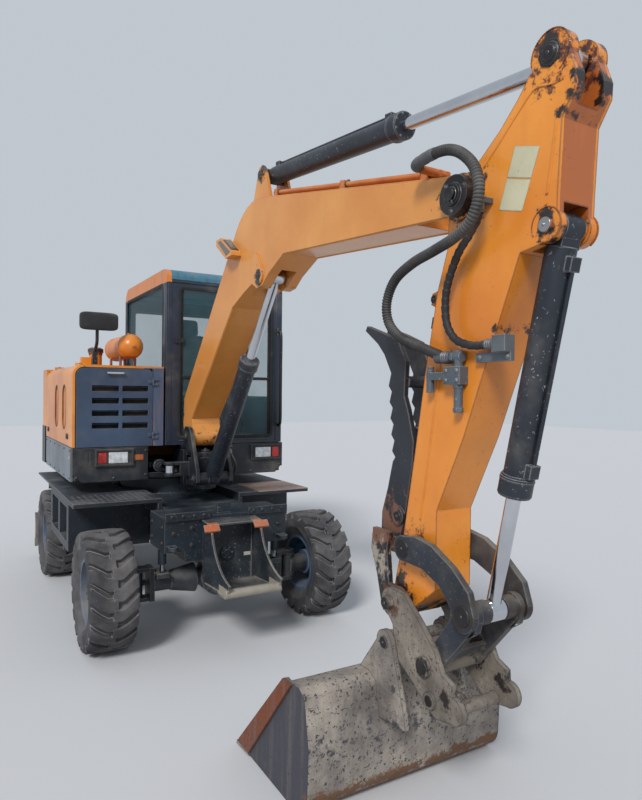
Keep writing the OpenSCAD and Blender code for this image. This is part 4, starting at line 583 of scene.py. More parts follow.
# Cylinders: dark painted barrels with a screwed gland, and hard chromed rods
# The paint is scratched along the barrel and lost at the collar
barrel_paint = finish("barrel_paint", (38, 44, 54), (24, 29, 37), bare=(150, 150, 152), dust=(124, 120, 116),
                      wear=0.75, wear_width=0.008, rusty=0.015, chipped=0.44, streaky=0.3, dusty=(0.12, 0.12),
                      rough=0.4)
dress(barrel_paint, "blade_barrel", "swing_barrel", "boom_barrel", "arm_barrel", "bucket_barrel",
      "thumb_barrel")
rod_chrome = finish("rod_chrome", (214, 216, 220), (188, 190, 196), bare=(226, 226, 228), wear=0.05,
                    rusty=-0.2, chipped=0.02, streaky=0.25, dusty=(-0.1, 0.02), rough=0.12, metal=1.0,
                    grain=(40.0, 0.006))
dress(rod_chrome, "blade_rod", "swing_rod", "boom_rod", "arm_rod", "bucket_rod", "thumb_rod")
boom_x = 0.080


def side(f, z, x=boom_x):
    """A point by its distance in front of the slew axis and its height, in the working gear's plane."""
    return Vector((x, -f, z))


foot, lift_base, lift_top = (0.730, 1.410), (0.930, 1.085), (2.064, 2.524)
elbow, crown, bucket_base = (3.905, 2.533), (4.295, 2.911), (4.289, 2.342)
arm_base, tip, link_pin, rod_pin = (1.990, 3.190), (3.534, 0.867), (3.613, 1.118), (3.978, 0.940)
thumb_base, thumb_boss, h_pin, ear_pin = (3.693, 2.170), (3.486, 1.227), (3.769, 0.673), (3.526, 0.694)
cylinders = (("boom_barrel", lift_base, lift_top, 1.170, 0.062),
             ("arm_barrel", arm_base, crown, 1.410, 0.056),
             ("bucket_barrel", bucket_base, rod_pin, 0.960, 0.054),
             ("thumb_barrel", thumb_base, thumb_boss, 0.700, 0.034))
for body, base, end, length, radius in cylinders:
    start = side(*base)
    along = (side(*end) - start).normalized()
    gland = bmesh.new()
    front = start + along*length
    collar = radius + 0.009
    add_round(gland, front - along*0.004, front + along*0.006, collar - 0.003, sides=40)
    add_round(gland, front - along*0.062, front - along*0.054, collar + 0.0015, sides=40)
    add_round(gland, front - along*0.078, front - along*0.070, radius + 0.0045, sides=40)
    across = Vector((1, 0, 0))
    for right_part, up_part in arc(1.0, 22, 45, 8):
        spot = front + along*0.006 + (across*right_part + along.cross(across)*up_part)*(collar - 0.011)
        add_round(gland, spot - along*0.002, spot + along*0.003, 0.004, sides=6)
    make(body + "_gland", body, gland, barrel_paint, bevel=0.0012)

# Upper frame: the deck on its slew ring, and the cast bracket that holds the swing post
# Painted near black, with the ends of its steel pins left grey
deck_paint = finish("deck_paint", (34, 38, 46), (20, 23, 29), bare=(118, 114, 108), wear=0.6, rusty=0.04,
                    chipped=0.3, dusty=(0.06, 0.16), grain=(110.0, 0.14), rough=0.38)
dress(deck_paint, "upper_frame", "swing_post", "counterweight")
post = bmesh.new()
swing_y, swing_top = -0.770, 1.297
add_round(post, (boom_x, swing_y, swing_top - 0.002), (boom_x, swing_y, swing_top + 0.005), 0.036, 0.033,
          sides=32)
add_bolt(post, (boom_x, swing_y, swing_top + 0.005), (0, 0, 1), 0.012)
post_reach, post_pin_r = 0.166, 0.027
for point in (foot, lift_base):
    for s in (-1, 1):
        face = side(*point, boom_x + s*post_reach)
        out = Vector((s, 0, 0))
        add_round(post, face - out*0.002, face + out*0.004, post_pin_r - 0.001, post_pin_r - 0.005, sides=28)
        add_round(post, face, face + out*0.014, 0.005, 0.003, sides=10)
        add_round(post, face - out*0.0125, face - out*0.004, post_pin_r + 0.016, sides=32)
        add_bolt(post, face - out*0.004 + Vector((0, 0.034, 0)), out, 0.004)
make("post_pins", "swing_post", post, worn_bolt, bevel=0.001)

# Front panels: pressed sheet under the floor, black, with the lamps let in behind a raised frame
# Two plain vent slots and bolts are set in it, and a small amber marker sits beside the right lamp
panel_paint = finish("panel_paint", (36, 40, 48), (24, 27, 33), wear=0.4, rusty=-0.02, chipped=0.28,
                     streaky=0.4, dusty=(0.18, 0.2), rough=0.5)
dress(panel_paint, "front_panels")
front_y_face, upper_x = -0.518, 0.916
amber_lens = finish("amber_lens", (206, 118, 36), (150, 74, 20), wear=0.1, rusty=-0.3, chipped=0.05,
                    rough=0.2, coat=0.6, dusty=(0.12, 0.1), grain=(400.0, 0.2))
marker = bmesh.new()
add_block(marker, (-0.438, front_y_face - 0.004, 1.212), (-0.362, front_y_face + 0.004, 1.258))
make("amber_marker", "upper", marker, amber_lens, bevel=0.003)
marker = bmesh.new()
add_block(marker, (-upper_x - 0.003, -0.395, 1.225), (-upper_x + 0.004, -0.350, 1.248))
make("side_marker", "upper", marker, amber_lens, bevel=0.003)
vents = bmesh.new()
for x in (-0.815, -0.788):
    add_block(vents, (x, front_y_face - 0.003, 1.195), (x + 0.018, front_y_face + 0.004, 1.285))
panel_bolts = [(-0.885, 1.09), (-0.60, 1.075), (-0.345, 1.09), (-0.345, 1.29), (0.36, 1.09), (0.60, 1.075),
               (0.885, 1.12)]
for x, z in panel_bolts:
    add_bolt(vents, (x, front_y_face, z), (0, -1, 0), 0.007)
make("panel_fittings", "upper", vents, panel_paint, bevel=0.0015)

# Headlamps: a ribbed red lens beside a clear one over a bright bowl, the red one outermost
# Moulded plastic, held in a thin dark rim
lamp_face, lamp_z = -0.524, 1.240
red_lens = finish("red_lens", (196, 40, 30), (140, 20, 18), wear=0.05, rusty=-0.3, chipped=0.05, rough=0.18,
                  coat=0.7, dusty=(0.12, 0.1), grain=(400.0, 0.2))
clear_lens = finish("clear_lens", (226, 230, 232), (176, 182, 188), wear=0.05, rusty=-0.3, chipped=0.04,
                    rough=0.12, coat=0.8, dusty=(0.10, 0.1), grain=(300.0, 0.25), mottle=30.0, streaky=0.0)
lamp_pieces = []
for centre, s in ((-0.595, -1), (0.745, 1)):
    label = "right" if s < 0 else "left"
    for kind, x, half, material in (("clear", centre - s*0.028, 0.075, clear_lens),
                                    ("red", centre + s*0.096, 0.033, red_lens)):
        lens = bmesh.new()
        add_block(lens, (x - half, lamp_face - 0.010, lamp_z - 0.044),
                  (x + half, lamp_face - 0.0005, lamp_z + 0.044))
        ribs = int(half*2/0.011)
        for i in range(ribs):
            at = x - half + 0.008 + i*(half*2 - 0.016)/(ribs - 1)
            add_block(lens, (at - 0.0016, lamp_face - 0.0118, lamp_z - 0.038),
                      (at + 0.0016, lamp_face - 0.0095, lamp_z + 0.038))
        lamp_pieces.append(make("lamp_" + kind + "_" + label, "upper", lens, material,
                                bevel=0.002))
    rim = bmesh.new()
    for low, high in (((-0.128, 0.047), (0.128, 0.052)), ((-0.128, -0.052), (0.128, -0.047)),
                      ((-0.1285, -0.052), (-0.1235, 0.052)), ((0.1285, -0.052), (0.1335, 0.052)),
                      ((s*0.053 - 0.004, -0.046), (s*0.053 + 0.004, 0.046))):
        add_block(rim, (centre + low[0], lamp_face - 0.009, lamp_z + low[1]),
                  (centre + high[0], lamp_face - 0.001, lamp_z + high[1]))
    lamp_pieces.append(make("lamp_rim_" + label, "upper", rim, panel_paint, bevel=0.001))
for lamp in lamp_pieces:
    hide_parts("lamps")

# Side skirts: grey sheet under the seam, scuffed
# Screwed to the deck's edge
skirt_paint = finish("skirt_paint", (118, 126, 134), (92, 100, 108), bare=(70, 70, 70), wear=0.4, rusty=0.0,
                     chipped=0.3, dusty=(0.16, 0.2), streaky=0.45)
dress(skirt_paint, "side_skirts")
screws = bmesh.new()
for s in (-1, 1):
    for i in range(6):
        for z in (1.075, 1.295):
            add_bolt(screws, (s*upper_x, -0.39 + i*0.28, z), (s, 0, 0), 0.0055)
make("skirt_screws", "upper", screws, worn_bolt, bevel=0.0008)

# Hood and covers: pressed sheet in faded orange, dulled on top, with dark runs under the seams
# The side cover carries two long ovals with a dark edge, and two flat latches
body_orange = finish("body_orange", (226, 146, 52), (190, 106, 34), bare=(92, 66, 48), dust=(168, 138, 96),
                     wear=0.32, wear_width=0.004, rusty=-0.015, rust_scale=9, chipped=0.22, streaky=0.35,
                     dusty=(0.1, 0.16), rough=0.38, coat=0.25, mottle=1.6,
                     zones=(((66, 84, 108),
                             (("X", -0.352, -0.100), ("Y", -0.60, -0.45), ("Z", 1.30, 1.972))),))
dress(body_orange, "hood", "side_cover", "rear_hood")
cover_trim = bmesh.new()
inner_r, outer_r, middle, oval_z, steps = 0.088, 0.100, 0.090, 1.640, 28
for y in (-0.080, 0.360):
    ring = []
    for i in range(steps):
        a = 2*math.pi*i/steps
        lift = middle if math.sin(a) >= 0 else -middle
        ring.append([(y + math.cos(a)*r, oval_z + lift + math.sin(a)*r) for r in (inner_r, outer_r)])
    rows = [[cover_trim.verts.new((-upper_x - t, p[0], p[1])) for p in pair for t in (0.0002, 0.0012)]
            for pair in ring]
    for i in range(steps):
        here, there = rows[i], rows[(i + 1) % steps]
        for a, b in ((1, 3), (0, 1), (3, 2), (2, 0)):
            cover_trim.faces.new((here[a], here[b], there[b], there[a]))
make("cover_trim", "side_cover", cover_trim, panel_paint, bevel=0)
latches = bmesh.new()
for y in (-0.30, 0.86):
    add_block(latches, (-upper_x - 0.006, y, 1.380), (-upper_x + 0.002, y + 0.09, 1.425))
    add_round(latches, (-upper_x - 0.006, y + 0.03, 1.4025), (-upper_x - 0.011, y + 0.03, 1.4025), 0.011,
              sides=24)
make("cover_latches", "side_cover", latches, panel_paint, bevel=0.002)

# Grille door: slate-blue pressed door with eight louvre openings, blades and a fine screen behind
# A bright handle at the top
door_blue = finish("door_blue", (66, 84, 108), (48, 63, 84), bare=(146, 146, 146), wear=0.4, wear_width=0.004,
                   rusty=-0.02, chipped=0.2, streaky=0.3, dusty=(0.14, 0.2), rough=0.42, coat=0.15,
                   zones=(((176, 178, 180), (("Y", -0.56, -0.523), ("Z", 1.88, 1.99))),))
dress(door_blue, "grille_door")
louvre_mid, louvre_low, louvre_step = -0.5495, 1.475, 0.100
blades = bmesh.new()
blade_half, blade_lean = Vector((0.1045, 0.009, 0.001)), Matrix.Rotation(math.radians(38), 4, "X")
for row in range(4):
    for s in (-1, 1):
        centre = Vector((louvre_mid + s*0.118, front_y_face + 0.023, louvre_low + row*louvre_step + 0.0395))
        add_block(blades, centre - blade_half, centre + blade_half, blade_lean)
make("grille_blades", "grille_door", blades, door_blue, bevel=0)
screen = bmesh.new()
wire_pitch, wire_half = 0.0077, 0.0011
for i in range(62):
    x = louvre_mid - 0.235 + i*wire_pitch
    add_block(screen, (x - wire_half, -0.4845, louvre_low - 0.02),
              (x + wire_half, -0.4825, louvre_low + 0.366))
for i in range(50):
    z = louvre_low - 0.019 + i*wire_pitch
    add_block(screen, (louvre_mid - 0.236, -0.4826, z - wire_half),
              (louvre_mid + 0.236, -0.4806, z + wire_half))
screen_wire = finish("screen_wire", (40, 42, 46), (26, 27, 30), wear=0.1, rusty=0.02, dusty=(0.3, 0.1),
                     metal=0.3)
make("grille_screen", "grille_door", screen, screen_wire, bevel=0)

# Engine: one plain block behind the grille, seen only with a lid open
# Oily cast iron
dress(finish("engine_iron", (78, 76, 74), (50, 48, 46), rusty=0.06, wear=0.5, dusty=(0.2, 0.3),
             grain=(90.0, 0.3), rough=0.7), "engine")

# Hood fittings: an air tank on legs, an air precleaner with a black cap, and a filler box
# The steel tank is banded at its ends and by two straps, and carries a drain and a relief valve
fitting_orange = finish("fitting_orange", (228, 142, 40), (196, 104, 28), bare=(96, 70, 50),
                        dust=(170, 132, 84), wear=0.5, wear_width=0.004, rusty=0.02, rust_scale=14,
                        chipped=0.3, dusty=(0.12, 0.14), rough=0.36, coat=0.2,
                        zones=(((34, 34, 38), (("X", -0.74, -0.58), ("Z", 2.106, 2.20))),
                               # The reddish-brown zone on the tank's bottom and its legs is painted shade
                               # under the tank
                               ((158, 76, 44), (("X", -0.53, -0.33), ("Z", 1.98, 2.07)))))
dress(fitting_orange, "hood_fittings")
tank_x, tank_z, tank_r, hood_z = -0.430, 2.155, 0.102, 1.985
cleaner_x, cleaner_y = -0.660, -0.050
tank = bmesh.new()
for y, half, proud in ((-0.20, 0.012, 0.0025), (0.06, 0.012, 0.0025), (-0.331, 0.004, 0.0035),
                       (0.191, 0.004, 0.0035)):
    add_round(tank, (tank_x, y - half, tank_z), (tank_x, y + half, tank_z), tank_r + proud, sides=48)
add_round(tank, (tank_x, -0.425, tank_z), (tank_x, -0.445, tank_z), 0.016, sides=6)
add_round(tank, (tank_x, -0.440, tank_z), (tank_x, -0.458, tank_z), 0.009, sides=16)
add_round(tank, (tank_x + 0.03, -0.12, tank_z + 0.096), (tank_x + 0.03, -0.12, tank_z + 0.130), 0.009,
          sides=6)
make("tank_fittings", "upper", tank, fitting_orange, bevel=0.0015)
cleaner = bmesh.new()
for low, high, radius, end_radius, sides in ((0.154, 0.166, 0.060, 0.040, 40),
                                             (0.166, 0.176, 0.010, 0.010, 12)):
    add_round(cleaner, (cleaner_x, cleaner_y, hood_z + low), (cleaner_x, cleaner_y, hood_z + high), radius,
              end_radius, sides=sides)
for x, y in arc(0.053, 0, 22.5, 16):
    add_round(cleaner, (cleaner_x + x, cleaner_y + y, hood_z + 0.1),
              (cleaner_x + x, cleaner_y + y, hood_z + 0.118), 0.004, sides=8)
make("precleaner_cap", "upper", cleaner, panel_paint, bevel=0.001)

# Cab: a welded shell of navy sheet and tube under a teal roof, its right roof edge trimmed in orange
# The panes sit in black rubber, and the windscreen is split by a dark bar
cab_paint = finish("cab_paint", (40, 50, 66), (27, 36, 48), bare=(120, 124, 130), wear=0.4, wear_width=0.005,
                   rusty=-0.02, chipped=0.25, streaky=0.35, dusty=(0.14, 0.2), rough=0.42, coat=0.2,
                   zones=(((62, 112, 132), (("Z", 2.730, 2.90),)),
                          ((206, 122, 50), (("X", -0.20, -0.135), ("Z", 2.70, 2.90)))))
dress(cab_paint, "cab", "cab_door")


def join_rings(mesh, rings, closed=False):
    """Skins a row of vertex rings: all round where closed, else with capped ends."""
    for here, there in zip(rings, rings[1:] + rings[:1] if closed else rings[1:]):
        for j in range(len(here)):
            mesh.faces.new((here[j], here[(j + 1) % len(here)], there[(j + 1) % len(here)], there[j]))
    if not closed:
        mesh.faces.new(rings[0])
        mesh.faces.new(rings[-1])


def add_seal(mesh, corner, across, upward, outward, proud=0.005):
    """A domed rubber strip with rounded corners along the edge of an opening, from its lower corner."""
    corner, across, upward, outward = Vector(corner), Vector(across), Vector(upward), Vector(outward)
    width, height = across.length, upward.length
    along, high = across/width, upward/height
    radius, half = 0.036, 0.014
    section = ((-half, -0.004), (-half, proud*0.5), (0, proud), (half, proud*0.5), (half, -0.004))
    rings = []
    for quarter, (x, z) in enumerate(((width - radius, height - radius), (radius, height - radius),
                                      (radius, radius), (width - radius, radius))):
        for step in range(7):
            angle = math.radians(90*quarter + 15*step)
            out = along*math.cos(angle) + high*math.sin(angle)
            middle = corner + along*x + high*z + out*radius
            rings.append([mesh.verts.new(middle + out*offset + outward*lift) for offset, lift in section])
    join_rings(mesh, rings, closed=True)


seal_rubber = finish("seal_rubber", (30, 31, 34), (20, 21, 23), bare=(70, 70, 72), wear=0.3, rusty=-0.3,
                     chipped=0.05, streaky=0.1, dusty=(0.14, 0.14), rough=0.7)
cab_front, cab_right, cab_left, cab_back = -0.512, -0.180, 0.905, 0.940
seals = bmesh.new()
add_seal(seals, (-0.065, cab_front, 1.385), (0.870, 0, 0), (0, 0, 1.275), (0, -1, 0))
add_seal(seals, (cab_right, -0.408, 1.700), (0, 1.268, 0), (0, 0, 0.990), (-1, 0, 0), proud=0.004)
add_seal(seals, (-0.090, cab_back, 1.950), (0.905, 0, 0), (0, 0, 0.660), (0, 1, 0))
add_seal(seals, (cab_left, 0.420, 1.750), (0, 0.450, 0), (0, 0, 0.920), (1, 0, 0))
add_block(seals, (-0.066, -0.505, 1.892), (0.806, -0.488, 1.918))
add_block(seals, (-0.066, -0.500, 1.386), (-0.030, -0.486, 2.659))
add_block(seals, (0.770, -0.500, 1.386), (0.806, -0.486, 2.659))
make("window_seals", "upper", seals, seal_rubber, bevel=0.001, smooth=60)
door_seal = bmesh.new()
add_seal(door_seal, (cab_left, -0.365, 1.730), (0, 0.632, 0), (0, 0, 0.870), (1, 0, 0))
make("door_seal", "cab_door", door_seal, seal_rubber, bevel=0.001, smooth=60)
trim = bmesh.new()
for x in (-0.168, 0.842):
    add_block(trim, (x, cab_front - 0.004, 1.345), (x + 0.036, cab_front + 0.002, 2.690))
add_block(trim, (-0.172, cab_front - 0.005, 2.700), (0.897, cab_front + 0.002, 2.716))
add_block(trim, (-0.060, cab_front - 0.004, 1.352), (0.800, cab_front + 0.002, 1.366))
for y in (-0.49, 0.89):
    add_block(trim, (cab_right - 0.004, y, 1.995), (cab_right + 0.002, y + 0.030, 2.690))
make("cab_beads", "upper", trim, cab_paint, bevel=0.004)
catch = bmesh.new()
add_block(catch, (-0.108, cab_front - 0.010, 2.185), (-0.070, cab_front + 0.001, 2.240))
add_round(catch, (-0.064, cab_front - 0.006, 2.180), (-0.064, cab_front - 0.006, 2.245), 0.006, sides=16)
add_block(catch, (-0.058, cab_front - 0.009, 2.192), (-0.022, cab_front - 0.002, 2.233))
for x, z in ((-0.089, 2.200), (-0.089, 2.225), (-0.038, 2.212)):
    add_bolt(catch, (x, cab_front - 0.009, z), (0, -1, 0), 0.0045)
make("screen_catch", "upper", catch, seal_rubber, bevel=0.001)
wiper = bmesh.new()
wiper_x, wiper_z = 0.640, 2.610
add_round(wiper, (wiper_x, -0.507, wiper_z), (wiper_x, -0.520, wiper_z), 0.016, sides=24)
add_round(wiper, (wiper_x, -0.514, wiper_z), (0.560, -0.510, 2.245), 0.0065, 0.0045, sides=10)
blade_turn = Matrix.Rotation(math.radians(6), 4, "Y")
add_block(wiper, (0.545, -0.512, 2.030), (0.557, -0.504, 2.470), blade_turn)
add_block(wiper, (0.549, -0.505, 2.030), (0.553, -0.4975, 2.470), blade_turn)
make("wiper", "upper", wiper, seal_rubber, bevel=0.001)

# Cab glass: flat panes with a light green-blue tint, held by the rubber
# Dusty towards the foot
pane = bpy.data.materials.new("pane_glass")
pane.use_nodes = True
pane_tree = pane.node_tree
pane_shader = pane_tree.nodes["Principled BSDF"]
film = pane_tree.nodes.new("ShaderNodeGroup")
film.node_tree = EFFECTS["dust"]
for key, value in (("All over", 0.02), ("On ledges", 0.0), ("Near the ground", 0.35), ("Ground height", 2.5)):
    film.inputs[key].default_value = value
tinted = add(pane_tree, "Mix",
             {"Factor": film.outputs["Mask"], 6: seen(84, 122, 130), 7: seen(136, 138, 134)},
             data_type="RGBA")
pane_tree.links.new(tinted.outputs[2], pane_shader.inputs["Base Color"])
solid_part = add(pane_tree, "MapRange", {"Value": film.outputs["Mask"], "To Min": 0.17, "To Max": 0.55})
pane_tree.links.new(solid_part.outputs["Result"], pane_shader.inputs["Alpha"])
dulled = add(pane_tree, "MapRange", {"Value": film.outputs["Mask"], "To Min": 0.03, "To Max": 0.5})
pane_tree.links.new(dulled.outputs["Result"], pane_shader.inputs["Roughness"])
dress(pane, "cab_glass", "door_glass")

# Cab interior: a sprung seat in dark cloth between two consoles with levers, and a steering wheel
# Moulded black plastic, dull with dust, on a ribbed rubber mat
plastic = finish("black_plastic", (34, 35, 38), (24, 25, 28), bare=(80, 80, 82), wear=0.35, rusty=-0.3,
                 chipped=0.1, streaky=0.1, dusty=(0.16, 0.3), rough=0.62, grain=(320.0, 0.2))
seat_cloth = finish("seat_cloth", (46, 47, 52), (32, 33, 37), bare=(74, 74, 76), wear=0.2, rusty=-0.3,
                    chipped=0.0, streaky=0.0, dusty=(0.16, 0.2), rough=0.85, grain=(520.0, 0.35))
seat_x, cab_floor, lever_y = 0.3625, 1.3653, 0.070


def add_pad(mesh, centre, half, turn, channels=(), crown=0.22):
    """A stuffed form with soft corners and a crowned face, channels sewn across at places from -1 to 1."""
    before = set(mesh.verts)
    edges = {edge for vert in bmesh.ops.create_cube(mesh, size=2.0)["verts"] for edge in vert.link_edges}
    bmesh.ops.subdivide_edges(mesh, edges=list(edges), cuts=22, use_grid_fill=True)
    for vert in (v for v in mesh.verts if v not in before):
        soft = vert.co/sum(abs(c)**6 for c in vert.co)**(1/6)
        face = max(soft.z, 0.0)
        rise = crown*(1 - soft.x**2)*(1 - soft.y**2)
        sewn = sum(0.14*math.exp(-((soft.y - place)/0.045)**2) for place in channels)
        vert.co = Vector(centre) + turn @ Vector((soft.x*half[0], soft.y*half[1],
                                                  (soft.z*(1 - crown) + face*(rise - sewn))*half[2]))


lean = Matrix.Rotation(math.radians(80), 3, "X")
pads = (("seat_cushion", (seat_x, 0.290, cab_floor + 0.359), (0.260, 0.260, 0.062), Matrix.Identity(3),
         (-0.45, 0.0, 0.45)),
        ("seat_back", (seat_x, 0.578, cab_floor + 0.6955), (0.250, 0.310, 0.058), lean, (-0.55, -0.1, 0.35)),
        ("head_rest", (seat_x, 0.644, cab_floor + 1.0768), (0.130, 0.085, 0.042), lean, ()))
inner_pieces = []
for label, centre, half, turn, channels in pads:
    pad = bmesh.new()
    add_pad(pad, centre, half, turn, channels)
    piece = make(label, "upper", pad, seat_cloth, bevel=0, smooth=80)
    inner_pieces.append(piece)
inner = bmesh.new()
add_block(inner, (seat_x - 0.230, 0.060, cab_floor), (seat_x + 0.230, 0.480, cab_floor + 0.060))
for i in range(8):
    add_block(inner, (seat_x - 0.215 + 0.002*(i % 2), 0.075, cab_floor + 0.060 + i*0.029),
              (seat_x + 0.215, 0.465, cab_floor + 0.079 + i*0.029))
for s in (-1, 1):
    x = seat_x + s*0.330
    add_block(inner, (x - 0.060, 0.020, cab_floor), (x + 0.060, 0.500, cab_floor + 0.500))
    add_block(inner, (x - 0.055, 0.030, cab_floor + 0.498), (x + 0.055, 0.490, cab_floor + 0.540))
    add_round(inner, (x, lever_y, cab_floor + 0.538), (x, lever_y, cab_floor + 0.600), 0.036, 0.017, sides=24)
    add_round(inner, (x, lever_y, cab_floor + 0.590), (x, lever_y, cab_floor + 0.690), 0.012, sides=16)
    bmesh.ops.create_uvsphere(inner, u_segments=24, v_segments=14, radius=0.030,
                              matrix=Matrix.Translation((x, lever_y, cab_floor + 0.718)))
add_block(inner, (seat_x - 0.040, -0.330, cab_floor), (seat_x + 0.040, -0.240, cab_floor + 0.560))
tilt = Matrix.Translation((seat_x, -0.305, cab_floor + 0.610)) @ Matrix.Rotation(math.radians(25), 4, "X")
wheel_radius, grip_radius = 0.165, 0.014
rim_rings = [[inner.verts.new(tilt @ Vector(((wheel_radius + out)*x, (wheel_radius + out)*y, up)))
              for out, up in arc(grip_radius, 0, 36, 10)] for x, y in arc(1.0, 0, 7.5, 48)]
join_rings(inner, rim_rings, closed=True)
add_round(inner, tilt @ Vector((0, 0, -0.055)), tilt @ Vector((0, 0, 0.012)), 0.030, 0.040, sides=28)
add_round(inner, tilt @ Vector((-0.160, 0, 0)), tilt @ Vector((0.160, 0, 0)), 0.010, sides=10)
add_round(inner, tilt @ Vector((0, 0, 0)), tilt @ Vector((0, -0.160, 0)), 0.010, sides=10)
add_block(inner, (seat_x - 0.440, -0.430, cab_floor), (seat_x + 0.440, 0.870, cab_floor + 0.005))
for i in range(40):
    add_block(inner, (seat_x - 0.430 + i*0.022, -0.425, cab_floor + 0.004),
              (seat_x - 0.420 + i*0.022, 0.865, cab_floor + 0.007))
inner_pieces.append(make("cab_fittings", "upper", inner, plastic, bevel=0.004))
for piece in inner_pieces:
    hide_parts("cab_interior")

# Hand rail and mirror: a bent tube on flat feet, and a mirror in a moulded shell on a tube from the hood
# Black, worn to the steel where hands hold it
rail_paint = finish("rail_paint", (30, 31, 35), (20, 21, 24), bare=(140, 140, 142), wear=0.7,
                    wear_width=0.004, rusty=0.0, chipped=0.4, dusty=(0.12, 0.14), rough=0.4)


def smooth_path(points, step=0.006):
    """A smooth curve through the points, cut into equal steps."""
    points = [Vector(p) for p in points]
    ends = [points[0]*2 - points[1], *points, points[-1]*2 - points[-2]]
    fine = [points[0]]
    for a, b, c, d in zip(ends, ends[1:], ends[2:], ends[3:]):
        for k in range(1, 25):
            t = k/24
            fine.append(0.5*(2*b + (c - a)*t + (2*a - 5*b + 4*c - d)*t*t + (3*b - a - 3*c + d)*t**3))
    path, left = [fine[0]], step
    for here, there in zip(fine, fine[1:]):
        span = (there - here).length
        while span >= left and span > 0:
            here = here.lerp(there, left/span)
            path.append(here)
            span -= left
            left = step
        left -= span
    return path


def add_tube(mesh, path, radius, sides=14):
    """A tube along a path, its radius a number or a function of the length so far."""
    rings, travelled = [], 0.0
    across = None
    for i, point in enumerate(path):
        along = (path[min(i + 1, len(path) - 1)] - path[max(i - 1, 0)]).normalized()
        across = (along.orthogonal() if across is None else across - along*across.dot(along)).normalized()
        other = along.cross(across)
        if i:
            travelled += (point - path[i - 1]).length
        r = radius(travelled) if callable(radius) else radius
        rings.append([mesh.verts.new(point + (across*math.cos(b) + other*math.sin(b))*r)
                      for b in (2*math.pi*k/sides for k in range(sides))])
    join_rings(mesh, rings)


rails = bmesh.new()
rail_x, rail_y, rail_low, rail_high, foot_y = 0.865, -0.578, 1.484, 2.340, -0.508
add_tube(rails,
         smooth_path(((rail_x, foot_y, rail_low), (rail_x, -0.545, rail_low + 0.002),
                      (rail_x, rail_y, rail_low + 0.045), (rail_x, rail_y, rail_low + 0.30),
                      (rail_x, rail_y, rail_high - 0.30), (rail_x, rail_y, rail_high - 0.045),
                      (rail_x, -0.545, rail_high - 0.002), (rail_x, foot_y, rail_high))), 0.013, sides=18)
for z in (rail_low, rail_high):
    add_block(rails, (rail_x - 0.024, -0.5165, z - 0.034), (rail_x + 0.024, -0.5105, z + 0.034))
    for t in (-0.024, 0.024):
        add_bolt(rails, (rail_x, -0.5165, z + t), (0, -1, 0), 0.005)
arm_x, hood_top = -0.715, 1.9853
add_block(rails, (arm_x - 0.025, -0.330, hood_top), (arm_x + 0.025, -0.280, hood_top + 0.008))
add_block(rails, (arm_x - 0.020, -0.325, hood_top), (arm_x + 0.020, -0.285, hood_top + 0.125))
add_tube(rails,
         smooth_path(((arm_x, -0.305, hood_top + 0.115), (arm_x, -0.345, hood_top + 0.140),
                      (arm_x, -0.395, hood_top + 0.190), (arm_x, -0.400, hood_top + 0.260),
                      (arm_x, -0.400, hood_top + 0.330))), 0.013, sides=16)
add_block(rails, (arm_x - 0.022, -0.428, 2.300), (arm_x + 0.022, -0.385, 2.340))
add_bolt(rails, (arm_x, -0.386, 2.320), (0, 1, 0), 0.006)
rail_piece = make("hand_rails", "upper", rails, rail_paint, bevel=0.0015, smooth=50)
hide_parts("cab_rails")
shell = bmesh.new()
add_pad(shell, (-0.710, -0.4475, 2.3375), (0.150, 0.0725, 0.0225), Matrix.Rotation(math.radians(90), 3, "X"),
        (), crown=0.35)
mirror_shell = make("mirror_shell", "upper", shell, plastic, bevel=0, smooth=80)
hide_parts("cab_rails")
mirror = bmesh.new()
add_block(mirror, (-0.848, -0.430, 2.277), (-0.572, -0.4262, 2.398))
mirror_glass = make("mirror_glass", "upper", mirror, bright_steel, bevel=0.001)
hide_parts("cab_rails")

# Swing post hoses: two rubber hoses with crimped ends that loop beside the post
# They are held at both ends by the post
rubber_hose = finish("hose_rubber", (38, 38, 42), (24, 24, 27), bare=(96, 94, 92), dust=(120, 116, 110),
                     wear=0.6, wear_width=0.004, rusty=-0.3, chipped=0.15, streaky=0.0, dusty=(0.16, 0.16),
                     rough=0.62, grain=(260.0, 0.2))
ferrule = finish("ferrule_steel", (112, 116, 122), (78, 82, 88), bare=(170, 170, 168), wear=0.6, rusty=0.06,
                 rust_scale=30, chipped=0.3, dusty=(0.14, 0.14), rough=0.42, metal=0.6)


def add_crimp(mesh, path, radius, length=0.045):
    """A pressed sleeve round the start of a hose, with grooves and a hexagon."""
    start = path[0]
    count = max(2, int(length/0.006))
    along = (path[count] - start).normalized()
    add_round(mesh, start - along*0.0005, start + along*length, radius + 0.0035, sides=24)
    for k in range(3):
        add_round(mesh, start + along*(0.014 + 0.010*k), start + along*(0.018 + 0.010*k), radius + 0.0052,
                  sides=24)
    add_round(mesh, start - along*0.0005, start + along*0.009, radius + 0.0055, sides=6)


post_routes = (((256, -825, 1321), (260, -828, 1285), (280, -842, 1225), (290, -855, 1170), (280, -862, 1115),
                (262, -855, 1085), (256, -850, 1070), (256, -850, 1055)),
               ((256, -872, 1311), (260, -876, 1275), (284, -892, 1220), (296, -902, 1170), (284, -900, 1115),
                (262, -886, 1085), (256, -880, 1070), (256, -880, 1055)))
hoses, crimps = bmesh.new(), bmesh.new()
for route in post_routes:
    path = smooth_path([Vector(p)/1000 for p in route])
    add_tube(hoses, path, lambda s: 0.0108 + 0.0003*math.sin(s*900), sides=14)
    add_crimp(crimps, path, 0.011, 0.035)
    add_crimp(crimps, path[::-1], 0.011, 0.035)
post_hoses = make("post_hose_rubber", "swing_post", hoses, rubber_hose, bevel=0, smooth=80)
post_crimps = make("post_hose_ends", "swing_post", crimps, ferrule, bevel=0.0008)
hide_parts("post_hoses")
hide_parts("post_hoses")

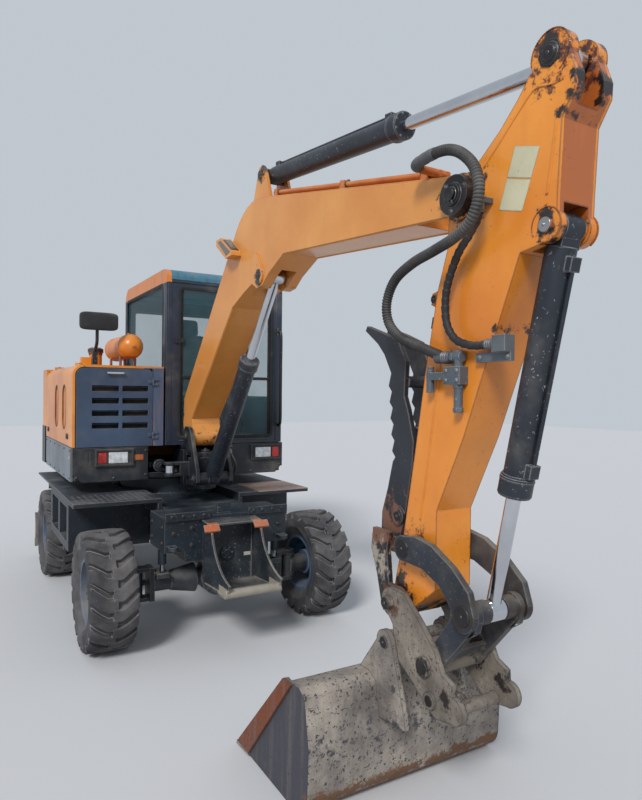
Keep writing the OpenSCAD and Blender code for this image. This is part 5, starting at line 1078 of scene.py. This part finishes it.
# Boom: a curved box of welded plates, forked at the elbow for the arm
# Orange paint faded on the sides and stained with old grease round the pins, with weld beads at the edges
GREASE, BROWN_STAIN = (36, 27, 25), (96, 48, 28)
boom_paint = finish("boom_paint", (220, 150, 72), (202, 126, 52), bare=(104, 64, 44), dust=(190, 150, 104),
                    wear=0.5, wear_width=0.006, rusty=-0.005, rust_scale=9, chipped=0.26, streaky=0.25,
                    dusty=(0.05, 0.08), rough=0.36, coat=0.25, mottle=1.4,
                    stains=((*elbow, 0.120, GREASE), (*lift_top, 0.060, GREASE), (*foot, 0.075, GREASE),
                            (*arm_base, 0.07, GREASE)))
dress(boom_paint, "boom")


def add_weld(mesh, corners, x, radius=0.0045):
    """A rippled bead of weld through places in a side view."""
    points = [side(f, z, x) for f, z in corners]
    path = []
    for here, there in zip(points, points[1:]):
        count = max(1, int((there - here).length/0.003))
        path += [here.lerp(there, k/count) for k in range(count)]
    add_tube(mesh, path + [points[-1]], lambda s: radius*(1 + 0.22*math.sin(s*700)), sides=6)


def add_pin_ends(mesh, point, reach, radius):
    """Both ends of a pin across the working gear, each with a chamfered face and a grease nipple."""
    for s in (-1, 1):
        out = Vector((s, 0, 0))
        face = side(*point, boom_x + s*reach)
        add_round(mesh, face - out*0.006, face + out*0.0018, radius + 0.0010, radius - 0.0025, sides=40)
        add_round(mesh, face, face + out*0.009, 0.0045, 0.003, sides=10)


def add_plate(mesh, corners, near, far):
    """A flat plate from one place across the machine to another, its corners given in a side view."""
    join_rings(mesh, [[mesh.verts.new(side(f, z, x)) for f, z in corners] for x in (near, far)])


boom_face, boom_lip = 0.120, 0.1125
boom_welds = bmesh.new()
for s in (-1, 1):
    for seam in (((2.400, 2.5995), (3.860, 2.4716)), ((0.760, 1.548), (1.608, 2.364)),
                 ((2.075, 3.0145), (3.850, 2.6245)), ((0.577, 1.725), (1.664, 2.882))):
        add_weld(boom_welds, seam, boom_x + s*boom_lip)
    cap_ring = [(elbow[0] + f, elbow[1] + z) for f, z in arc(0.090, 110, 10, 15)]
    add_weld(boom_welds, cap_ring, boom_x + s*(boom_face + 0.001), 0.004)
for seam in (((1.476, 2.855), (1.562, 2.855), (1.762, 2.726)),
             ((1.476, 2.813), (1.655, 2.692), (1.762, 2.697))):
    add_weld(boom_welds, seam, boom_x - boom_face - 0.001, 0.004)
make("boom_welds", "boom", boom_welds, boom_paint, bevel=0, smooth=80)
pin_dark = finish("pin_dark", (44, 42, 44), (24, 23, 25), bare=(128, 126, 124), wear=0.7, wear_width=0.005,
                  rusty=0.06, rust_scale=24, chipped=0.3, dusty=(0.10, 0.1), rough=0.34, metal=0.35)
elbow_caps = bmesh.new()
cap_base, lift_top_reach = 0.1277, 0.1320
for s in (-1, 1):
    out = Vector((s, 0, 0))
    face = side(*elbow, boom_x + s*cap_base)
    add_round(elbow_caps, face, face + out*0.0355, 0.079, 0.0765, sides=56)
    add_round(elbow_caps, face + out*0.034, face + out*0.045, 0.047, 0.043, sides=44)
    add_round(elbow_caps, face + out*0.040, face + out*0.0590, 0.0285, 0.0270, sides=36)
    add_round(elbow_caps, face + out*0.050 + Vector((0, 0.016, 0.040)),
              face + out*0.050 - Vector((0, 0.016, 0.040)), 0.0032, sides=10)
    for y, z in arc(0.062, 40, 120, 3):
        add_bolt(elbow_caps, face + out*0.0355 + Vector((0, y, z)), out, 0.0065)
add_pin_ends(elbow_caps, lift_top, lift_top_reach, 0.027)
add_pin_ends(elbow_caps, arm_base, 0.0950, 0.027)
for s in (-1, 1):
    face = side(*lift_top, boom_x + s*lift_top_reach)
    add_round(elbow_caps, face - Vector((s*0.001, 0, 0)), face + Vector((s*0.0009, 0, 0)), 0.038, sides=44)
make("boom_pins", "boom", elbow_caps, pin_dark, bevel=0.0012)
lamp_turn = Matrix(((1, 0, 0), (0, -0.8384, -0.5450), (0, -0.5450, 0.8384))).transposed().to_4x4()
lamp_middle, lamp_out = side(1.664, 2.789, -0.0755), Vector((0, -0.5450, 0.8384))
lens_lift = 0.0042
work_lamp = bmesh.new()
for size, lift in (((0.060, 0.176, 0.004), 0.0010), ((0.052, 0.160, 0.004), 0.0030)):
    half = Vector(size)/2
    add_block(work_lamp, lamp_middle + lamp_out*lift - half, lamp_middle + lamp_out*lift + half, lamp_turn)
make("work_lamp_frame", "boom", work_lamp, seal_rubber, bevel=0.0015)
dark_lens = finish("dark_lens", (92, 74, 66), (52, 42, 40), wear=0.05, rusty=-0.3, chipped=0.03, rough=0.14,
                   coat=0.8, dusty=(0.10, 0.1), grain=(200.0, 0.3))
lens = bmesh.new()
half = Vector((0.040, 0.128, 0.005))/2
add_block(lens, lamp_middle + lamp_out*lens_lift - half, lamp_middle + lamp_out*lens_lift + half, lamp_turn)
lamp_side_x = boom_x - 0.1899
window = [(lift_top[0] + f, lift_top[1] + z)
          for f, z in ((-0.560, 0.312), (-0.505, 0.312), (-0.330, 0.203), (-0.405, 0.190))]
add_plate(lens, window, lamp_side_x + 0.0002, lamp_side_x - 0.0020)
make("work_lamp_lens", "boom", lens, dark_lens, bevel=0.002)

# Boom pipes: two steel tubes in clamps along the boom's back, painted with it
# Dark bolts close the clamps
pipe_paint = finish("pipe_paint", (216, 128, 54), (176, 92, 38), bare=(92, 58, 42), dust=(176, 132, 92),
                    wear=0.6, wear_width=0.004, rusty=0.03, rust_scale=14, chipped=0.35, dusty=(0.1, 0.12),
                    rough=0.42)
dress(pipe_paint, "boom_pipes")
pipe_start, pipe_end = side(2.0734, 3.0146, 0.024), side(3.865, 2.621, 0.024)
pipe_run = (pipe_end - pipe_start).normalized()
pipe_lift = Vector((0, pipe_run.z, -pipe_run.y))
pipe_length = (pipe_end - pipe_start).length
clamps = bmesh.new()
for at in (0.130, pipe_length*0.5, pipe_length - 0.250):
    middle = pipe_start + pipe_run*(at + 0.022)
    add_bolt(clamps, middle + pipe_lift*0.0503, pipe_lift, 0.0085)
    for x in (-0.020, 0.020):
        spot = middle + Vector((x, 0, 0)) + pipe_lift*0.032
        for t in (-1, 1):
            add_round(clamps, spot + pipe_run*t*0.022, spot + pipe_run*t*0.032, 0.0155, sides=24)
make("clamp_bolts", "boom", clamps, pin_dark, bevel=0.001)

# Arm: a tapering box with a tall crown of two plates, its faces stiffened by folded ridges
# Orange, chipped and rusty at the crown, with a blank pale plate on the right face
arm_paint = finish("arm_paint", (232, 146, 48), (212, 122, 34), bare=(84, 52, 40), dust=(186, 142, 92),
                   wear=0.85, wear_width=0.011, rusty=0.012, rust_scale=8, rust=(96, 44, 26), chipped=0.34,
                   streaky=0.3, dusty=(0.05, 0.06), rough=0.34, coat=0.25, mottle=1.6,
                   stains=((*crown, 0.115, BROWN_STAIN), (*crown, 0.070, GREASE),
                           (*bucket_base, 0.055, GREASE), (*elbow, 0.115, GREASE), (*tip, 0.13, GREASE),
                           (*link_pin, 0.10, BROWN_STAIN), (4.338, 2.700, 0.022, GREASE),
                           (4.400, 2.80, 0.045, GREASE), (4.372, 2.752, 0.022, GREASE),
                           (4.06, 2.02, 0.022, GREASE), (4.31, 2.25, 0.045, GREASE)),
                   # The darker orange zone on the front face under the crown is brownish paint with painted
                   # shade of that face
                   zones=(((172, 92, 36), (("X", -0.002, 0.162), ("Y", -4.50, -4.20), ("Z", 2.37, 2.90))),))
dress(arm_paint, "arm")
arm_face = 0.095
ridges = bmesh.new()
for route in (((4.352, 2.806), (4.300, 2.806), (4.232, 2.818), (4.160, 2.765), (4.064, 2.680),
               (3.955, 2.588)), ((4.330, 2.700), (4.315, 2.600), (4.300, 2.496), (4.290, 2.440)),
              ((3.780, 1.960), (3.735, 1.700), (3.690, 1.420), (3.655, 1.240))):
    for s in (-1, 1):
        add_tube(ridges, smooth_path([side(f, z, boom_x + s*(arm_face - 0.002)) for f, z in route], 0.01),
                 0.0068, sides=12)
make("arm_ridges", "arm", ridges, arm_paint, bevel=0, smooth=80)
arm_welds = bmesh.new()
for s in (-1, 1):
    for centre, radius, first, count in ((crown, 0.078, -60, 26), (bucket_base, 0.060, -60, 28)):
        boss_ring = [(centre[0] + f, centre[1] + z) for f, z in arc(radius, first, 10, count)]
        add_weld(arm_welds, boss_ring, boom_x + s*(arm_face + 0.0002), 0.0028)
    add_weld(arm_welds, ((3.752, 2.193), (3.690, 1.900), (3.624, 1.550)), boom_x + s*(arm_face - 0.010),
             0.0045)
make("arm_welds", "arm", arm_welds, arm_paint, bevel=0, smooth=80)
plate_corners = [Vector(c) for c in ((4.149, 2.652), (4.260, 2.615), (4.185, 2.412), (4.077, 2.442))]
blank_plates = bmesh.new()
for first, last in ((0.0, 0.485), (0.500, 1.0)):
    corners = [plate_corners[0].lerp(plate_corners[3], first), plate_corners[1].lerp(plate_corners[2], first),
               plate_corners[1].lerp(plate_corners[2], last), plate_corners[0].lerp(plate_corners[3], last)]
    add_plate(blank_plates, corners, boom_x - arm_face + 0.0002, boom_x - arm_face - 0.0011)
blank_pale = finish("blank_pale", (210, 204, 172), (188, 182, 150), bare=(150, 120, 80), wear=0.25,
                    rusty=-0.02, chipped=0.3, streaky=0.3, dusty=(0.08, 0.1), rough=0.4)
make("blank_plates", "arm", blank_plates, blank_pale, bevel=0.0004)
arm_pins = bmesh.new()
add_pin_ends(arm_pins, crown, 0.1050, 0.027)
add_pin_ends(arm_pins, thumb_base, 0.0700, 0.018)
for s in (-1, 1):
    face = side(*crown, boom_x + s*arm_face)
    out = Vector((s, 0, 0))
    add_round(arm_pins, face - out*0.001, face + out*0.004, 0.047, sides=8)
    add_round(arm_pins, face + out*0.003, face + out*0.0085, 0.036, 0.033, sides=36)
make("arm_pins", "arm", arm_pins, pin_dark, bevel=0.001)
pin_bright = finish("pin_bright", (176, 176, 178), (140, 138, 138), bare=(196, 196, 198), wear=0.3,
                    rusty=0.03, rust_scale=30, chipped=0.2, dusty=(0.08, 0.1), rough=0.3, metal=0.8)
bright_ends = bmesh.new()
add_pin_ends(bright_ends, bucket_base, 0.1050, 0.027)
make("arm_bright_pins", "arm", bright_ends, pin_bright, bevel=0.001)

# Arm pipes: a cast valve block, steel fittings and brackets on the arm's right face
# Grey paint over steel, chipped
block_grey = finish("block_grey", (98, 106, 114), (66, 74, 82), bare=(160, 160, 156), wear=0.75,
                    wear_width=0.005, rusty=0.04, rust_scale=20, chipped=0.4, dusty=(0.14, 0.16), rough=0.5,
                    metal=0.2, grain=(140.0, 0.14))
dress(block_grey, "arm_pipes")
block_x = boom_x - arm_face
bore_x, valve_y, stub_y = block_x - 0.0263, -3.905, -3.740
fittings = bmesh.new()
for z in (1.705, 1.795, 1.925):
    add_round(fittings, (bore_x, valve_y, z), (bore_x, valve_y, z + 0.016), 0.021, sides=6)
add_round(fittings, (bore_x, -3.872, 1.918), (bore_x, -3.886, 1.918), 0.0235, sides=6)
for y, z in ((-3.915, 1.826), (-3.855, 1.826), (-3.915, 1.864), (-3.855, 1.864)):
    add_bolt(fittings, (block_x - 0.0463, y, z), (-1, 0, 0), 0.006)
add_round(fittings, (bore_x, stub_y, 1.862), (bore_x, stub_y, 1.884), 0.014, sides=6)
add_round(fittings, (bore_x, stub_y, 1.778), (bore_x, stub_y, 1.786), 0.018, sides=6)
for y in (-4.145, -4.010):
    add_bolt(fittings, (block_x - 0.0203, y, 1.909), (-1, 0, 0), 0.007)
make("valve_fittings", "arm", fittings, block_grey, bevel=0.001)

# Arm hoses: a long one in a ribbed guard and a short one in a wound sleeve, between pressed steel ends
# Both ride on the arm, their black rubber greyed by dust
long_route = ((-92, -3710, 2697), (-103, -3712, 2697), (-113, -3722, 2698), (-119, -3750, 2700),
              (-121, -3830, 2704), (-121, -3920, 2692), (-124, -4000, 2650), (-128, -4070, 2575),
              (-130, -4092, 2480), (-128, -4052, 2395), (-124, -3960, 2352), (-118, -3840, 2328),
              (-112, -3700, 2303), (-104, -3575, 2255), (-98, -3512, 2170), (-92, -3520, 2080),
              (-84, -3600, 2008), (-66, -3720, 1960), (-46, -3820, 1922), (-41.3, -3864, 1918))
short_route = ((-66, -4030, 2474), (-66, -4030, 2462), (-66, -4030, 2448), (-66, -4018, 2412),
               (-66, -3978, 2366), (-64, -3920, 2310), (-64, -3870, 2220), (-62, -3848, 2140),
               (-60, -3855, 2050), (-56, -3900, 1985), (-50, -3980, 1956), (-46, -4056, 1955),
               (-46, -4078, 1955), (-46, -4098, 1955))
rib_pitch, wrap_pitch = 0.0125, 0.032
long_path = smooth_path([Vector(p)/1000 for p in long_route], 0.0021)
short_path = smooth_path([Vector(p)/1000 for p in short_route], 0.003)
ribbed, wound, sleeve, ends = bmesh.new(), bmesh.new(), bmesh.new(), bmesh.new()
add_tube(ribbed, long_path, lambda s: 0.0180 + 0.0036*abs(math.sin(math.pi*s/rib_pitch)), sides=18)
add_tube(wound, short_path, lambda s: 0.0168 - 0.0030*(s/wrap_pitch % 1.0), sides=16)
add_tube(sleeve, long_path[:72], lambda s: 0.0232 + 0.0005*math.sin(s*160), sides=20)
add_crimp(ends, long_path[::-1], 0.0205, 0.075)
add_crimp(ends, short_path, 0.0150, 0.030)
add_crimp(ends, short_path[::-1], 0.0150, 0.045)
ribbed_rubber = finish("ribbed_rubber", (52, 50, 50), (34, 33, 34), bare=(104, 100, 96), dust=(122, 118, 114),
                       wear=0.8, wear_width=0.003, rusty=-0.3, chipped=0.0, streaky=0.0, dusty=(0.18, 0.16),
                       rough=0.6, mottle=6.0)
faded_tape = finish("faded_tape", (100, 104, 108), (70, 73, 78), bare=(130, 130, 130), wear=0.3, rusty=-0.3,
                    chipped=0.1, streaky=0.3, dusty=(0.2, 0.2), rough=0.8, grain=(300.0, 0.3))
long_pieces = [make("long_hose_guard", "arm", ribbed, ribbed_rubber, bevel=0, smooth=55),
               make("long_hose_sleeve", "arm", sleeve, faded_tape, bevel=0, smooth=80)]
for piece in long_pieces:
    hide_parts("arm_hose_long")
short_piece = make("short_hose_sleeve", "arm", wound, rubber_hose, bevel=0, smooth=50)
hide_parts("arm_hose_short")
end_piece = make("arm_hose_ends", "arm", ends, ferrule, bevel=0.0008)
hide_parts("arm_hose_long", "arm_hose_short")

# Links: two curved guide plates and the H link, dark blue-black steel on plain pins
# Rubbed bright at their edges; a heel plate fills the corner below each end of the H link's lower pin
link_paint = finish("link_paint", (40, 46, 58), (24, 28, 36), bare=(124, 120, 114), dust=(132, 124, 112),
                    wear=0.8, wear_width=0.009, rusty=0.05, chipped=0.4, streaky=0.3,
                    dusty=(0.14, 0.16, 0.16, 1.3), rough=0.46,
                    stains=((*h_pin, 0.10, (126, 116, 102)), (*rod_pin, 0.07, GREASE)))
dress(link_paint, "guide_links", "h_link")
link_pins = bmesh.new()
link_reach = 0.158
add_pin_ends(link_pins, link_pin, link_reach, 0.025)
add_pin_ends(link_pins, rod_pin, link_reach, 0.027)
for s in (-1, 1):
    out = Vector((s, 0, 0))
    for point in (link_pin, rod_pin):
        face = side(*point, boom_x + s*link_reach)
        add_round(link_pins, face - out*0.001, face + out*0.0035, 0.041, 0.039, sides=40)
make("link_pin_ends", "guide_links", link_pins, pin_dark, bevel=0.001)
h_plate_inner, h_plate_outer = 0.0983, 0.1257
heel_corners = [(rod_pin[0] + f, rod_pin[1] + z)
                for f, z in ((0.040, -0.060), (0.0522, -0.0138), (0.020, -0.010), (0.0, -0.050))]
h_heels = bmesh.new()
for s in (-1, 1):
    add_plate(h_heels, heel_corners, boom_x + s*h_plate_inner, boom_x + s*h_plate_outer)
make("h_link_heels", "h_link", h_heels, link_paint, bevel=0.0015)

# Coupler and bucket: cast hook plates and a wide welded ditching bucket, caked in pale dried mud
# The cutters on its sides have rusted, and the lower edge is scoured
SLATE, CUTTER_RUST = (62, 62, 70), (116, 58, 28)
mud_steel = finish("mud_steel", (164, 154, 142), (104, 97, 92), bare=(62, 60, 64), dust=(178, 170, 156),
                   rust=(104, 74, 54), wear=0.75, wear_width=0.010, rusty=0.07, rust_scale=5, chipped=0.85,
                   streaky=0.55, dusty=(0.0, 0.06, 0.05, 0.8), rough=0.82, grain=(38.0, 0.25), mottle=5.0,
                   depth=0.006,
                   zones=((CUTTER_RUST, (("X", -0.485, -0.4655), ("Z", 0.02, 0.60))),
                          (CUTTER_RUST, (("X", 0.6255, 0.645), ("Z", 0.02, 0.60))),
                          (SLATE, (("X", -0.4655, -0.4615), ("Z", 0.0, 0.60))),
                          (SLATE, (("X", 0.6215, 0.6255), ("Z", 0.0, 0.60))),
                          ((116, 84, 62), (("Y", -3.70, -3.42), ("Z", 0.0, 0.050)))),
                   stains=((3.60, 0.30, 0.10, SLATE), (3.50, 0.07, 0.045, (104, 74, 52)),
                           (3.47, 0.20, 0.028, SLATE), (3.60, 0.52, 0.025, (70, 68, 70))))
dress(mud_steel, "bucket")
coupler_steel = finish("coupler_steel", (140, 130, 118), (96, 88, 80), bare=(70, 66, 66),
                       dust=(166, 156, 142), rust=(104, 66, 44), wear=0.85, wear_width=0.012, rusty=0.07,
                       rust_scale=7, chipped=0.7, streaky=0.6, dusty=(0.03, 0.1, 0.1, 0.8), rough=0.8,
                       grain=(42.0, 0.25), mottle=6.0, depth=0.005,
                       stains=((*tip, 0.060, (88, 64, 52)), (*h_pin, 0.05, GREASE),
                               (3.90, 0.60, 0.05, GREASE)))
dress(coupler_steel, "coupler")
coupler_pins = bmesh.new()
add_pin_ends(coupler_pins, tip, 0.1880, 0.027)
add_pin_ends(coupler_pins, ear_pin, 0.1882, 0.025)
for s in (-1, 1):
    out = Vector((s, 0, 0))
    for point, reach, radius in ((h_pin, 0.1719, 0.030), ((3.808, 0.553), 0.1699, 0.024)):
        face = side(*point, boom_x + s*reach)
        add_round(coupler_pins, face - out*0.002, face + out*0.0022, radius, radius - 0.003, sides=36)
make("coupler_pin_ends", "coupler", coupler_pins, pin_dark, bevel=0.001)
bucket_front, shell_x, ear_inner = -3.480, 0.545, 0.170
bucket_welds = bmesh.new()
for s in (-1, 1):
    for x in (ear_inner - 0.013, ear_inner + 0.013):
        add_weld(bucket_welds, ((3.455, 0.412), (3.472, 0.365), (3.496, 0.322)), boom_x + s*x, 0.006)
boss_y, boss_z = bucket_front + 0.135, 0.458
for s in (-1, 1):
    add_round(bucket_welds, (boom_x + s*(shell_x - 0.001), boss_y, boss_z),
              (boom_x + s*(shell_x - 0.012), boss_y, boss_z), 0.056, 0.052, sides=36)
make("bucket_welds", "coupler", bucket_welds, mud_steel, bevel=0, smooth=80)
random_mud = random.Random(4)
lumps = bmesh.new()
for i in range(150):
    size = random_mud.uniform(0.004, 0.013)
    place = Vector((random_mud.uniform(-0.43, 0.59), random_mud.uniform(-3.37, -2.86), 0.019 + size*0.2))
    if i % 3 == 0:
        place = Vector((random_mud.uniform(-0.02, 0.18), random_mud.uniform(-3.83, -3.70), 0.519 + size*0.1))
    turned = Matrix.Rotation(random_mud.uniform(0, 3), 4, "Z")
    flat = Matrix.Diagonal((1.0, random_mud.uniform(0.6, 1.0), random_mud.uniform(0.35, 0.7), 1.0))
    for vert in bmesh.ops.create_icosphere(lumps, subdivisions=2, radius=size,
                                           matrix=Matrix.Translation(place) @ turned @ flat)["verts"]:
        vert.co += Vector((random_mud.uniform(-1, 1), random_mud.uniform(-1, 1),
                           random_mud.uniform(-1, 1)))*size*0.10
make("bucket_mud", "coupler", lumps, mud_steel, bevel=0, smooth=70)

# Thumb: two toothed plates with cross bars that pivot on the pin at the arm's tip
# Dark paint gone dull, brown with rust at the legs and pale with mud below
thumb_paint = finish("thumb_paint", (44, 47, 55), (28, 30, 36), bare=(118, 106, 98), dust=(140, 130, 118),
                     wear=0.85, wear_width=0.010, rusty=0.06, rust_scale=9, rust=(96, 62, 48), chipped=0.4,
                     streaky=0.4, dusty=(0.12, 0.12, 0.22, 1.5), rough=0.52,
                     stains=((3.40, 1.16, 0.15, (112, 74, 56)), (3.39, 1.02, 0.09, (150, 140, 126)),
                             (*tip, 0.09, BROWN_STAIN)))
dress(thumb_paint, "thumb")
thumb_pins = bmesh.new()
add_pin_ends(thumb_pins, thumb_boss, 0.0898, 0.024)
make("thumb_pins", "thumb", thumb_pins, pin_dark, bevel=0.001)
thumb_welds = bmesh.new()
thumb_face = 0.100
for s in (-1, 1):
    for seam in (((3.342, 1.060), (3.350, 1.125)), ((3.455, 1.075), (3.463, 1.125))):
        add_weld(thumb_welds, seam, boom_x + s*thumb_face, 0.005)
make("thumb_welds", "thumb", thumb_welds, thumb_paint, bevel=0, smooth=80)
